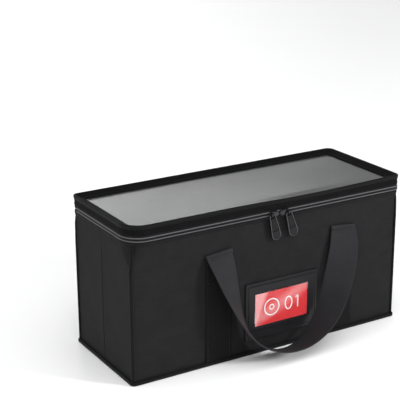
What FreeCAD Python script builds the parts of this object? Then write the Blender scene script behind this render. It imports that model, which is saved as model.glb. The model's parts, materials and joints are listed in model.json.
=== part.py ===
import FreeCAD, Part
import math
import os
import re
import Sketcher
from FreeCAD import Placement, Rotation, Vector

# Soft-sided disc storage box: boarded fabric walls, a zipped lid with a clear window, two webbing handles
# and a label pocket. Millimetres. +X runs along the length, +Y to the back, +Z up. The origin is the middle
# of the footprint, on the surface that the box stands on. An offset is a distance out from the wall's face.

doc = FreeCAD.newDocument("DiscStorageBox")
sheet = doc.addObject("Spreadsheet::Sheet", "Sizes")

SIZES = [
    # body
    ("box_length", 400, "outside length over the walls"),
    ("box_depth", 150, "outside depth over the walls"),
    ("wall_drop", 5, "from the zip down to the top edge of the wall fabric"),
    ("fabric", 1.0, "outer fabric"),
    ("board", 2.4, "stiffening board in a wall"),
    ("lining", 0.8, "lining"),
    ("board_gap", 0.3, "space between neighbouring boards at a corner"),
    ("crease_gap", 1.6, "space between the two boards of an end wall, where it folds"),
    ("crease_width", 1.6, "width of the crease in an end wall's fabric"),
    ("seam_corner", 3, "corner radius of the walls, low down"),
    ("corner_start_drop", 40, "from the zip down to where the walls begin to take its corners"),
    ("corner_end_drop", 9, "from the zip down to where they have them"),
    ("front_left_corner", 24.5, "corner radius under the zip, front left"),
    ("front_right_corner", 4.5, "the same, front right"),
    ("back_right_corner", 7.5, "the same, back right"),
    ("back_left_corner", 4.5, "the same, back left"),
    ("least_corner", 0.6, "smallest corner radius on an inner layer"),
    ("welt_radius", 2.4, "half width of the pinched seam up a corner"),
    ("welt_inset", 0.8, "how far its middle lies inside both faces"),
    ("binding_out", 3.5, "how far the bottom binding stands out"),
    ("binding_height", 4.5, "height of the bottom binding"),
    ("insert_thickness", 2.5, "loose board on the bottom"),
    ("insert_gap", 0.8, "space round the loose board"),
    # collar
    ("board_drop", 8, "from the zip down to the top of the wall boards, where the collar starts"),
    ("collar_thickness", 3.2, "collar inside the lid"),
    ("collar_rise", 10.3, "from the zip up to the top of the collar's boards"),
    ("collar_cap", 1.5, "binding over the collar's top"),
    ("collar_cap_side", 0.1, "how far the binding stands out from the collar"),
    # zip
    ("zip_height", 185, "middle of the zip"),
    ("tape_out", 1.7, "thickness of the zip's tape over its seam"),
    ("tape_drop", 7.5, "from the zip down to the lower edge of the lower tape"),
    ("tape_rise", 5.3, "from the zip up to the upper edge of the upper tape"),
    ("chain_inner", 0.2, "inner face of the teeth"),
    ("chain_out", 2.5, "outer face of the teeth"),
    ("chain_height", 1.75, "height of one row of teeth"),
    ("chain_gap", 0.3, "space between the two rows"),
    ("zip_end", 10, "distance from the back face to the ends of the zip"),
    ("stop_length", 4, "end stop of the zip"),
    # lid
    ("skirt_height", 8.3, "height of the lid's skirt, which starts at the upper tape"),
    ("skirt_out", 2.2, "thickness of the skirt"),
    ("rim_height", 4.7, "height of the rolled rim on the skirt"),
    ("rim_out", 2.6, "outer face of the rim"),
    ("rim_inner", 0.4, "how far the rim reaches inside the wall's face"),
    ("rim_round", 1.3, "rounding of the rim's top edges"),
    ("border_width", 10, "sloping border between rim and window"),
    ("border_thickness", 0.9, "thickness of the border"),
    ("border_sink", 0.8, "from the rim's top down to the border"),
    ("border_drop", 4.6, "how much lower the border is at the window"),
    ("film", 0.4, "clear film of the window"),
    ("film_lap", 1.0, "how far the film reaches under the border"),
    ("stiffener", 2.2, "rod inside the rim"),
    ("stiffener_in", 0.6, "its distance inside the wall's face"),
    ("stiffener_sink", 0.7, "from the rim's lower edge down to the rod's underside"),
    ("hinge_out", 2.2, "the lid's axis, out from the back wall's face"),
    ("hinge_roll", 0.9, "radius of the fold of fabric on that axis"),
    ("hinge_end", 9, "distance from the end walls to the ends of the fold"),
    ("hinge_space", 1.2, "height of the space between axis and hinge tape"),
    # webbing
    ("strap_width", 38, "width of the webbing"),
    ("strap_thickness", 1.6, "thickness of the webbing"),
    ("strap_span", 189, "distance between the middles of the two sewn straps"),
    ("strap_middle", 15, "middle of the handles and the label, to the right of the box's middle"),
    ("fold_drop", 36, "from the zip down to the top of the sewn straps, where the handle folds over"),
    ("handle_clear", 0.7, "space between a handle and its sewn strap"),
    ("handle_foot", 4.5, "height of the foot of the loop"),
    ("handle_narrow", 0.34, "how much narrower the loop is at its foot than at its top"),
    ("handle_bow", 11.5, "how far the foot of the loop stands off the wall"),
    ("handle_tilt", 17, "rise of the webbing across the foot of the loop, degrees"),
    # label pocket
    ("label_width", 110, "label frame, outside"),
    ("label_height", 77, "label frame, outside"),
    ("label_middle", 59, "height of the label's middle"),
    ("label_open_width", 81, "opening of the frame"),
    ("label_open_height", 44, "opening of the frame"),
    ("label_backing", 0.8, "backing patch"),
    ("label_plate", 1.0, "front plate of the frame"),
    ("label_ridge", 0.6, "raised ridge on the front plate"),
    ("label_ridge_border", 6, "distance of the ridge from the frame's edge"),
    ("card_width", 90, "card"),
    ("card_height", 54, "card"),
    ("card_thickness", 0.5, "card"),
    ("card_clear", 0.3, "space before and behind the card"),
    ("card_side_clear", 1, "space beside the card"),
    ("label_film", 0.3, "clear film over the card"),
    # sliders and pulls
    ("left_slider_place", 0.3, "middle of the left slider"),
    ("right_slider_place", 15.8, "middle of the right slider"),
    ("slider_length", 14, "slider, along the zip"),
    ("slider_height", 8.8, "slider, across the zip"),
    ("slider_plate", 1.8, "thickness of the slider's plate"),
    ("slider_clear", 0.5, "space between the teeth and the plate"),
    ("slider_lip", 1.6, "height of the lip that hooks under the teeth"),
    ("slider_lip_clear", 0.4, "space round the lip"),
    ("slider_clip", 2, "clipped corners of the slider's plate"),
    ("bridge_width", 2.4, "bridge on the slider"),
    ("bridge_offset", 4.5, "from the slider's middle to its bridge, away from the other slider"),
    ("bridge_height", 5.3, "bridge, from foot to foot"),
    ("bridge_wire", 1.0, "thickness of the bridge"),
    ("bridge_out", 3.6, "how far the bridge stands out of the plate"),
    ("bridge_bevel", 0.8, "bevel of the bridge's outer corners"),
    ("pull_length", 35, "pull, from its axis to its end"),
    ("pull_top_width", 9, "pull, at the eye"),
    ("pull_bottom_width", 14, "pull, at its round end"),
    ("pull_thickness", 1.4, "pull"),
    ("pull_recess", 0.4, "depth of the panel in a pull"),
    ("pull_edge", 2.2, "width of the raised edge round that panel"),
    ("pull_bar", 0.7, "half thickness of the bar in the eye"),
    ("eye_width", 5.4, "hole for the bridge"),
    ("eye_length", 4.4, "hole for the bridge"),
    ("left_pull_lean", 14, "lean of the left pull to the right, degrees"),
    ("right_pull_lean", 17, "lean of the right pull to the right, degrees"),
    # tools that cut a piece out of a larger one
    ("tool_reach", 20, "how far such a tool reaches past the piece"),
    ("tool_edge", 0.01, "half width of a tool's edge that is nearly sharp"),
]

# Heights and places that follow another: what each is measured from, which way, and the size between
LEVELS = {
    "wall_top": ("zip_height", "-", "wall_drop"),
    "corner_start": ("zip_height", "-", "corner_start_drop"),
    "corner_end": ("zip_height", "-", "corner_end_drop"),
    "board_top": ("zip_height", "-", "board_drop"),
    "collar_top": ("zip_height", "+", "collar_rise"),
    "tape_bottom": ("zip_height", "-", "tape_drop"),
    "skirt_bottom": ("zip_height", "+", "tape_rise"),
    "rim_bottom": ("skirt_bottom", "+", "skirt_height"),
    "rim_top": ("rim_bottom", "+", "rim_height"),
    "border_top": ("rim_top", "-", "border_sink"),
    "stiffener_bottom": ("rim_bottom", "-", "stiffener_sink"),
    "fold_height": ("zip_height", "-", "fold_drop"),
    "handle_drop": ("fold_height", "-", "handle_foot"),
    "left_bridge_place": ("left_slider_place", "-", "bridge_offset"),
    "right_bridge_place": ("right_slider_place", "+", "bridge_offset"),
}
for row, (alias, value, note) in enumerate(SIZES, start=1):
    sheet.set(f"A{row}", note)
    sheet.set(f"B{row}", str(value))
    sheet.setAlias(f"B{row}", alias)
doc.recompute()

ALIASES = [alias for alias, _, _ in SIZES]
CORNERS = ("front_left_corner", "front_right_corner", "back_right_corner", "back_left_corner")
nodes = {}


def size(name):
    """The value of a named size or level, for the shapes that are computed here."""
    if name in LEVELS:
        start, way, step = LEVELS[name]
        return size(start) + (size(step) if way == "+" else -size(step))
    return float(sheet.get(name))


def cells(text):
    """An expression in which each size stands for its cell, and each level for what it is measured from."""

    def cell(found):
        word = found.group()
        if word in LEVELS:
            return cells("(" + " ".join(LEVELS[word]) + ")")
        return "Sizes." + word if word in ALIASES else word

    return re.sub("[a-z_]+", cell, text)


def bind(thing, **expressions):
    """Binds properties to expressions: Base_x and the like are parts of the Placement."""
    for prop, text in expressions.items():
        if prop.startswith("Base_"):
            prop = "Placement.Base." + prop[-1]
        thing.setExpression(prop, cells(text))
    return thing


def node(thing, name):
    """Marks a finished piece: its Label is the name of the piece and of its file."""
    thing.Label = name
    nodes[name] = thing
    return thing


def block(name, x, y, z):
    """A box from pairs of expressions, low and high along each axis."""
    made = doc.addObject("Part::Box", name)
    bind(made, Base_x=x[0], Base_y=y[0], Base_z=z[0])
    bind(made, Length=f"({x[1]}) - ({x[0]})", Width=f"({y[1]}) - ({y[0]})", Height=f"({z[1]}) - ({z[0]})")
    return made


def cut(name, base, tool):
    made = doc.addObject("Part::Cut", name)
    made.Base = base
    made.Tool = tool
    return made


def common(name, base, tool):
    made = doc.addObject("Part::Common", name)
    made.Base = base
    made.Tool = tool
    return made


def fuse(name, *shapes):
    made = doc.addObject("Part::MultiFuse", name)
    made.Shapes = list(shapes)
    return made


def rounded_loop(sketch, tag, offset, corners):
    """Adds a rectangle with four rounded corners to a sketch, its sides offset from the walls' faces.

    corners are four expressions for the radii, from front left round to back left."""
    half_x = size("box_length") / 2 + 1
    half_y = size("box_depth") / 2 + 1
    turn = 8.0  # radius before the sketch is solved
    first = sketch.GeometryCount
    line = Part.LineSegment
    arcs = [
        (Vector(-half_x + turn, -half_y + turn, 0), math.pi),
        (Vector(half_x - turn, -half_y + turn, 0), 1.5 * math.pi),
        (Vector(half_x - turn, half_y - turn, 0), 0.0),
        (Vector(-half_x + turn, half_y - turn, 0), 0.5 * math.pi),
    ]
    sketch.addGeometry([
        line(Vector(-half_x + turn, -half_y, 0), Vector(half_x - turn, -half_y, 0)),
        line(Vector(half_x, -half_y + turn, 0), Vector(half_x, half_y - turn, 0)),
        line(Vector(half_x - turn, half_y, 0), Vector(-half_x + turn, half_y, 0)),
        line(Vector(-half_x, half_y - turn, 0), Vector(-half_x, -half_y + turn, 0)),
    ], False)
    for middle, start in arcs:
        circle = Part.Circle(middle, Vector(0, 0, 1), turn)
        sketch.addGeometry(Part.ArcOfCircle(circle, start, start + math.pi / 2), False)
    front, right, back, left, at_fl, at_fr, at_br, at_bl = range(first, first + 8)
    rule = Sketcher.Constraint
    sketch.addConstraint([
        rule("Tangent", left, 2, at_fl, 1), rule("Tangent", at_fl, 2, front, 1),
        rule("Tangent", front, 2, at_fr, 1), rule("Tangent", at_fr, 2, right, 1),
        rule("Tangent", right, 2, at_br, 1), rule("Tangent", at_br, 2, back, 1),
        rule("Tangent", back, 2, at_bl, 1), rule("Tangent", at_bl, 2, left, 1),
        rule("Horizontal", front), rule("Horizontal", back), rule("Vertical", left), rule("Vertical", right),
    ])
    sides = [
        ("front", rule("DistanceY", front, 1, -1, 1, half_y), "box_depth"),
        ("right", rule("DistanceX", -1, 1, right, 1, half_x), "box_length"),
        ("back", rule("DistanceY", -1, 1, back, 1, half_y), "box_depth"),
        ("left", rule("DistanceX", left, 1, -1, 1, half_x), "box_length"),
    ]
    for word, constraint, whole in sides:
        index = sketch.addConstraint(constraint)
        sketch.renameConstraint(index, f"{tag}_{word}")
        sketch.setExpression(f"Constraints.{tag}_{word}", cells(f"{whole} / 2 + ({offset})"))
    for arc, radius, word in zip((at_fl, at_fr, at_br, at_bl), corners, ("fl", "fr", "br", "bl")):
        index = sketch.addConstraint(rule("Radius", arc, turn))
        sketch.renameConstraint(index, f"{tag}_{word}")
        sketch.setExpression(f"Constraints.{tag}_{word}", cells(f"max({radius} + ({offset}); least_corner)"))


def outline_sketch(name, height, offset, corners=CORNERS):
    """A loose sketch of the walls' outline at some height, for a loft."""
    sketch = doc.addObject("Sketcher::SketchObject", name)
    rounded_loop(sketch, "loop", offset, corners)
    bind(sketch, Base_z=height)
    return sketch


def ring(name, outer, inner, bottom, top, corners=CORNERS):
    """A band round the box between two offsets, or a plate where inner is None."""
    body = doc.addObject("PartDesign::Body", name)
    sketch = body.newObject("Sketcher::SketchObject", name + "_sketch")
    plane = next(f for f in body.Origin.OriginFeatures if f.Role == "XY_Plane")
    sketch.AttachmentSupport = [(plane, "")]
    sketch.MapMode = "FlatFace"
    rounded_loop(sketch, "outer", outer, corners)
    if inner is not None:
        rounded_loop(sketch, "inner", inner, corners)
    pad = body.newObject("PartDesign::Pad", name + "_pad")
    pad.Profile = sketch
    bind(pad, Length=f"({top}) - ({bottom})")
    bind(body, Base_z=bottom)
    return body


def envelope(name, offset, bottom, top):
    """All that lies inside the walls' face at an offset: square corners low down, the zip's higher up."""
    low = ("seam_corner",) * 4
    sections = [
        outline_sketch(name + "_foot", bottom, offset, low),
        outline_sketch(name + "_start", "corner_start", offset, low),
        outline_sketch(name + "_end", "corner_end", offset),
        outline_sketch(name + "_top", top, offset),
    ]
    loft = doc.addObject("Part::Loft", name)
    loft.Sections = sections
    loft.Solid = True
    loft.Ruled = True
    return loft


def quarter(name, side):
    """A prism that holds one wall: it meets its neighbours on the diagonals through the corners."""
    made = doc.addObject("Part::Wedge", name)
    if side in ("front", "back"):
        along, across, far = "box_length", "box_depth", "box_length / 2 - box_depth / 2"
    else:
        along, across, far = "box_depth", "box_length", "tool_edge"
    bind(made, Zmin="0", Z2min="0", Zmax="rim_top + tool_reach", Z2max="rim_top + tool_reach")
    bind(made, Xmin=f"-({along} / 2 + tool_reach)", Xmax=f"{along} / 2 + tool_reach")
    bind(made, X2min=f"-({far})", X2max=far)
    bind(made, Ymin="-tool_reach", Ymax="box_depth / 2")
    turn = {"front": 0, "right": 90, "back": 180, "left": 270}[side]
    made.Placement = Placement(Vector(0, 0, 0), Rotation(Vector(0, 0, 1), turn))
    toward_x = {"left": "-1", "right": "1"}.get(side, "0")
    toward_y = {"front": "-1", "back": "1"}.get(side, "0")
    bind(made, Base_x=f"{toward_x} * {across} / 2", Base_y=f"{toward_y} * {across} / 2")
    return made


SIDES = ("front", "right", "back", "left")
quarters = {side: quarter(side + "_quarter", side) for side in SIDES}

# Walls: outer fabric, boards and lining
face = envelope("wall_face", "0", "fabric", "wall_top")
behind_fabric = envelope("wall_behind_fabric", "-fabric", "fabric", "wall_top")
behind_board = envelope("wall_behind_board", "-fabric - board", "fabric + board", "board_top")
inside = envelope("wall_inside", "-fabric - board - lining", "fabric + board", "board_top")
fabric_shell = cut("fabric_shell", face, behind_fabric)
lining_shell = cut("lining_shell", behind_board, inside)
for side in SIDES:
    panel = common(side + "_panel_piece", fabric_shell, quarters[side])
    if side in ("left", "right"):
        sign = "-" if side == "left" else ""
        groove = block(
            side + "_crease",
            ("-crease_width / 2 / sqrt(2)", "crease_width / 2 / sqrt(2)"),
            ("-crease_width / 2 / sqrt(2)", "crease_width / 2 / sqrt(2)"),
            ("0", "wall_top + tool_reach"),
        )
        groove.Placement = Placement(Vector(0, 0, 0), Rotation(Vector(0, 0, 1), 45))
        bind(groove, Base_x=f"{sign}(box_length / 2 + crease_width / 4)", Base_y="-crease_width / 2")
        panel = cut(side + "_panel_creased", panel, groove)
    node(panel, side + "_panel")
    node(common(side + "_lining_piece", lining_shell, quarters[side]), side + "_lining")

board_height = ("fabric + board", "board_top")
along_x = ("-(box_length / 2 - fabric - board - board_gap)", "box_length / 2 - fabric - board - board_gap")
board_blocks = {
    "front_board": (along_x, ("-(box_depth / 2 - fabric)", "-(box_depth / 2 - fabric - board)")),
    "back_board": (along_x, ("box_depth / 2 - fabric - board", "box_depth / 2 - fabric")),
}
for side, low, high in (
    ("left", "-(box_length / 2 - fabric)", "-(box_length / 2 - fabric - board)"),
    ("right", "box_length / 2 - fabric - board", "box_length / 2 - fabric"),
):
    board_blocks[side + "_front_board"] = ((low, high), ("-(box_depth / 2 - fabric)", "-crease_gap / 2"))
    board_blocks[side + "_back_board"] = ((low, high), ("crease_gap / 2", "box_depth / 2 - fabric"))
for name, (x, y) in board_blocks.items():
    node(common(name + "_piece", block(name + "_blank", x, y, board_height), behind_fabric), name)

# Base, from below: fabric, board, lining and the loose board that lies on it
square = ("seam_corner",) * 4
node(ring("base_panel_body", "0", None, "0", "fabric", square), "base_panel")
node(ring("base_board_body", "-fabric", None, "fabric", "fabric + board", square), "base_board")
lining_edge = "-fabric - board - lining"
base_lining_top = "fabric + board + lining"
node(ring("base_lining_body", lining_edge, None, "fabric + board", base_lining_top, square), "base_lining")
insert_top = base_lining_top + " + insert_thickness"
insert_edge = lining_edge + " - insert_gap"
node(ring("insert_board_body", insert_edge, None, base_lining_top, insert_top, square), "insert_board")
node(ring("bottom_binding_body", "binding_out", "0", "0", "binding_height", square), "bottom_binding")


def corner_welt(name, sign_x, sign_y, top_corner):
    """The pinched seam up a corner: a rod that leans in where the corner grows round, less the wall."""
    inset = size("welt_inset")
    radius = size("welt_radius")
    grown = (size(top_corner) - size("seam_corner")) * (1 - math.sqrt(0.5))
    x = size("box_length") / 2 - inset
    y = size("box_depth") / 2 - inset
    foot = Vector(sign_x * x, sign_y * y, size("binding_height"))
    bend = Vector(foot.x, foot.y, size("corner_start"))
    head = Vector(sign_x * (x - grown), sign_y * (y - grown), size("corner_end"))
    lower = Part.makeCylinder(radius, bend.z - foot.z, foot)
    upper = Part.makeCylinder(radius, (head - bend).Length, bend, head - bend)
    rod = lower.fuse([Part.makeSphere(radius, bend), upper])
    made = doc.addObject("Part::Feature", name + "_rod")
    made.Shape = rod
    level = block(
        name + "_level",
        ("-box_length", "box_length"),
        ("-box_depth", "box_depth"),
        ("binding_height", "corner_end"),
    )
    trimmed = common(name + "_trimmed", made, level)
    return cut(name + "_piece", trimmed, face)


for name, sign_x, sign_y, top_corner in (
    ("front_left_seam", -1, -1, "front_left_corner"),
    ("front_right_seam", 1, -1, "front_right_corner"),
    ("back_right_seam", 1, 1, "back_right_corner"),
    ("back_left_seam", -1, 1, "back_left_corner"),
):
    node(corner_welt(name, sign_x, sign_y, top_corner), name)

# Collar that stands up inside the lid
collar = ring("collar_ring", "-fabric", "-fabric - collar_thickness", "board_top", "collar_top")
for side in SIDES:
    node(common(side + "_collar_piece", collar, quarters[side]), side + "_collar")
cap_out = "-fabric + collar_cap_side"
cap_in = "-fabric - collar_thickness - collar_cap_side"
node(ring("collar_cap_ring", cap_out, cap_in, "collar_top", "collar_top + collar_cap"), "collar_binding")

# Zip round three sides and fabric hinge along the back
behind_zip = block(
    "behind_zip",
    ("-box_length", "box_length"),
    ("box_depth / 2 - zip_end", "box_depth"),
    ("0", "rim_top + tool_reach"),
)
chain_low = "zip_height - chain_gap / 2 - chain_height"
chain_high = "zip_height + chain_gap / 2 + chain_height"
lower_tape = ring("lower_tape_ring", "tape_out", "0", "tape_bottom", chain_low)
upper_tape = ring("upper_tape_ring", "tape_out", "0", chain_high, "skirt_bottom")
lower_chain = ring("lower_chain_ring", "chain_out", "chain_inner", chain_low, "zip_height - chain_gap / 2")
upper_chain = ring("upper_chain_ring", "chain_out", "chain_inner", "zip_height + chain_gap / 2", chain_high)
for name, part in (
    ("lower_zip_tape", lower_tape),
    ("upper_zip_tape", upper_tape),
    ("lower_zip_chain", lower_chain),
    ("upper_zip_chain", upper_chain),
):
    node(cut(name + "_piece", part, behind_zip), name)
lower_hinge = ring("lower_hinge_ring", "tape_out", "0", "tape_bottom", "zip_height - hinge_space")
upper_hinge = ring("upper_hinge_ring", "tape_out", "0", "zip_height + hinge_space", "skirt_bottom")
node(common("lower_hinge_piece", lower_hinge, behind_zip), "lower_hinge_tape")
node(common("upper_hinge_piece", upper_hinge, behind_zip), "upper_hinge_tape")

hinge_fold = doc.addObject("Part::Cylinder", "hinge_fold_roll")
hinge_fold.Placement = Placement(Vector(0, 0, 0), Rotation(Vector(0, 1, 0), 90))
bind(
    hinge_fold,
    Radius="hinge_roll",
    Height="box_length - 2 * hinge_end",
    Base_x="-(box_length / 2 - hinge_end)",
    Base_y="box_depth / 2 + hinge_out",
    Base_z="zip_height",
)
node(hinge_fold, "hinge_fold")

stops = []
for word, x in (
    ("left", ("-(box_length / 2 + chain_out)", "-(box_length / 2 + chain_inner)")),
    ("right", ("box_length / 2 + chain_inner", "box_length / 2 + chain_out")),
):
    y = ("box_depth / 2 - zip_end", "box_depth / 2 - zip_end + stop_length")
    z = ("zip_height - hinge_space", "zip_height - chain_gap / 2")
    stops.append(block(word + "_stop", x, y, z))
node(fuse("zip_stop_pair", *stops), "zip_stops")

# Lid: skirt, rolled rim, sloping border, window and the rod that keeps its shape
node(ring("lid_skirt_ring", "skirt_out", "0", "skirt_bottom", "rim_bottom"), "lid_skirt")
rim = ring("lid_rim_ring", "rim_out", "-rim_inner", "rim_bottom", "rim_top")
doc.recompute()
rim_pad = rim.Tip
rim_edges = [
    f"Edge{index}"
    for index, edge in enumerate(rim_pad.Shape.Edges, start=1)
    if edge.BoundBox.ZMin > size("rim_top") - size("rim_bottom") - 0.01
]
rolled = rim.newObject("PartDesign::Fillet", "lid_rim_rolled")
rolled.Base = (rim_pad, rim_edges)
bind(rolled, Radius="min(rim_round; (rim_out + rim_inner) * 0.45; (rim_top - rim_bottom) * 0.6)")
node(rim, "lid_rim")

border_in = "-rim_inner - border_width"
film_level = "border_top - border_drop - border_thickness"
border_ring = ring("border_ring", "-rim_inner", border_in, film_level, "border_top")


def slope(name, low, high):
    """The space inside the lid's border, above a surface that climbs from the window to the rim."""
    loft = doc.addObject("Part::Loft", name)
    loft.Sections = [
        outline_sketch(name + "_low", low, border_in),
        outline_sketch(name + "_high", high, "-rim_inner"),
    ]
    loft.Solid = True
    loft.Ruled = True
    return loft


above_border = slope("above_border", film_level + " + border_thickness", "border_top")
above_underside = slope("above_underside", film_level, "border_top - border_thickness")
under_rim = ring("under_rim_plate", "-rim_inner", None, "border_top - border_thickness", "border_top")
border_space = fuse("border_space", above_underside, under_rim)
border = cut("border_cut", common("border_common", border_ring, border_space), above_border)
node(border, "lid_border")
film_edge = border_in + " + film_lap"
node(ring("lid_window_plate", film_edge, None, film_level + " - film", film_level), "lid_window")
rod_out = "-stiffener_in"
rod_in = "-stiffener_in - stiffener"
rod_top = "stiffener_bottom + stiffener"
node(ring("lid_stiffener_ring", rod_out, rod_in, "stiffener_bottom", rod_top), "lid_stiffener")

# Webbing sewn up the walls
for side, word, way in (
    ("front", "left", "-"),
    ("front", "right", "+"),
    ("back", "left", "-"),
    ("back", "right", "+"),
):
    middle = f"strap_middle {way} strap_span / 2"
    near, far = "box_depth / 2", "box_depth / 2 + strap_thickness"
    y = (near, far) if side == "back" else (f"-({far})", f"-({near})")
    x = (middle + " - strap_width / 2", middle + " + strap_width / 2")
    name = f"{side}_{word}_strap"
    node(block(name + "_piece", x, y, ("binding_height", "fold_height")), name)

# The hanging loop: how late, on the way down, its shape changes. A higher power is later.
FALL_SLOWS = 2
FOOT_CLOSES = 6
BOW_GROWS = 5
TILT_GROWS = 4
TURN_GROWS = 0.8
SECTION_SQUARES = 10
HALF_LOOP_SECTIONS = 12


def handle_edge(part_way):
    """The edge of a handle that lies next to the wall, on its right half.

    part_way is 0 at the fold and 1 at the middle of the loop's foot. The fall, from 0 to 1, slows down
    towards the foot. The loop narrows evenly with the fall and closes like the end of a bowl."""
    fall = 1 - (1 - part_way) ** FALL_SLOWS
    half = (size("strap_span") - size("strap_width")) / 2
    across = half * (1 - size("handle_narrow") * fall) * math.sqrt(max(0.0, 1 - fall ** FOOT_CLOSES))
    out = size("strap_thickness") * 1.5 + size("handle_clear") + size("handle_bow") * fall ** BOW_GROWS
    return Vector(across, out, -size("handle_drop") * fall), fall


def handle_section(part_way, half_sign, wall_sign):
    """The webbing's cross-section: across the wall at the fold, and turned square to it at the foot."""
    step = 0.002
    at, fall = handle_edge(part_way)
    after = handle_edge(min(1.0, part_way + step))[0]
    before = handle_edge(max(0.0, part_way - step))[0]
    run = after - before
    if part_way == 1:
        run = Vector(-1, 0, 0)
    run.normalize()
    turn = math.pi / 2 * fall ** TURN_GROWS
    tilt = math.radians(size("handle_tilt")) * fall ** TILT_GROWS
    width = Vector(math.cos(turn) * math.cos(tilt), math.sin(turn) * math.cos(tilt), math.sin(tilt))
    squared = 1 - (1 - fall) ** SECTION_SQUARES
    width = width - run * (width.dot(run) * squared)
    width.normalize()
    thick = run.cross(width) * (size("strap_thickness") / 2)
    width = width * size("strap_width")
    corners = [at - thick, at + width - thick, at + width + thick, at + thick]
    placed = []
    for p in corners:
        x = size("strap_middle") + half_sign * p.x
        y = wall_sign * (size("box_depth") / 2 + p.y)
        placed.append(Vector(x, y, size("fold_height") + p.z - size("strap_thickness") / 2))
    return placed


def handle(name, wall_sign):
    """A loop of webbing that hangs from two folds: a ruled solid through sections from fold to fold."""
    ways = [index / HALF_LOOP_SECTIONS for index in range(HALF_LOOP_SECTIONS + 1)]
    sections = [handle_section(way, -1, wall_sign) for way in ways]
    sections += [handle_section(way, 1, wall_sign) for way in reversed(ways[:-1])]
    wires = [Part.makePolygon(points + points[:1]) for points in sections]
    solid = Part.makeLoft(wires, True, True)
    if solid.Volume < 0:
        solid.reverse()
    made = doc.addObject("Part::Feature", name + "_loop")
    made.Shape = solid
    return made


node(handle("front_handle", -1), "front_handle")
node(handle("back_handle", 1), "back_handle")

# Label pocket on the front wall: backing, frame, film and card
label_half = ("strap_middle - label_width / 2", "strap_middle + label_width / 2")
label_z = ("label_middle - label_height / 2", "label_middle + label_height / 2")
depth = {"wall": "box_depth / 2"}
depth["backing"] = depth["wall"] + " + label_backing"
depth["card_back"] = depth["backing"] + " + card_clear"
depth["card_front"] = depth["card_back"] + " + card_thickness"
depth["film_back"] = depth["card_front"] + " + card_clear"
depth["film_front"] = depth["film_back"] + " + label_film"
depth["plate_front"] = depth["film_front"] + " + label_plate"
depth["ridge_front"] = depth["plate_front"] + " + label_ridge"


def between(far, near):
    return (f"-({depth[far]})", f"-({depth[near]})")


def centred(width):
    return (f"strap_middle - ({width}) / 2", f"strap_middle + ({width}) / 2")


node(block("label_backing_plate", label_half, between("backing", "wall"), label_z), "label_backing")
plate = block("label_plate_blank", label_half, between("plate_front", "backing"), label_z)
window = block(
    "label_opening",
    centred("label_open_width"),
    between("ridge_front", "backing"),
    ("label_middle - label_open_height / 2", "label_middle + label_open_height / 2"),
)
slot_low = "label_middle - card_height / 2 - card_clear"
slot = block(
    "label_slot",
    centred("card_width + 2 * card_side_clear"),
    between("film_front", "backing"),
    (slot_low, "label_middle + label_height"),
)
ridge_outer = block(
    "label_ridge_outer",
    centred("label_width - 2 * label_ridge_border"),
    between("ridge_front", "plate_front"),
    (
        "label_middle - label_height / 2 + label_ridge_border",
        "label_middle + label_height / 2 - label_ridge_border",
    ),
)
frame = cut("label_frame_slotted", fuse("label_frame_blank", plate, ridge_outer), slot)
node(cut("label_frame_piece", frame, window), "label_frame")
card_z = ("label_middle - card_height / 2", "label_middle + card_height / 2")
card_x = centred("card_width")
node(block("label_window_film", card_x, between("film_front", "film_back"), card_z), "label_window")
node(block("label_card_sheet", card_x, between("card_front", "card_back"), card_z), "label_card")


def polygon_body(name, plane_role, loops, length, middle=False):
    """A pad of straight and round outlines. Each loop is a list of expression pairs, or a circle's three."""
    body = doc.addObject("PartDesign::Body", name)
    sketch = body.newObject("Sketcher::SketchObject", name + "_sketch")
    plane = next(f for f in body.Origin.OriginFeatures if f.Role == plane_role)
    sketch.AttachmentSupport = [(plane, "")]
    sketch.MapMode = "FlatFace"
    rule = Sketcher.Constraint
    for number, points in enumerate(loops):
        first = sketch.GeometryCount
        count = len(points)
        spots = [Vector(*start, 0) for start, _, _ in points]
        for index in range(count):
            sketch.addGeometry(Part.LineSegment(spots[index], spots[(index + 1) % count]), False)
        for index in range(count):
            sketch.addConstraint(rule("Coincident", first + index, 2, first + (index + 1) % count, 1))
        for index, (start, x, y) in enumerate(points):
            for axis, value, text in (("X", start[0], x), ("Y", start[1], y)):
                low = value < 0
                ends = (first + index, 1, -1, 1) if low else (-1, 1, first + index, 1)
                made = sketch.addConstraint(rule("Distance" + axis, *ends, abs(value)))
                tag = f"p{number}_{index}_{axis}"
                sketch.renameConstraint(made, tag)
                sketch.setExpression(f"Constraints.{tag}", cells(f"-({text})" if low else text))
    pad = body.newObject("PartDesign::Pad", name + "_pad")
    pad.Profile = sketch
    pad.Midplane = middle
    bind(pad, Length=length)
    return body


def front_place(thing, x, out):
    """Puts a piece that was drawn about the zip's middle in front of the box."""
    bind(thing, Base_x=x, Base_y=f"-(box_depth / 2 + {out})", Base_z="zip_height")
    return thing


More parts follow.
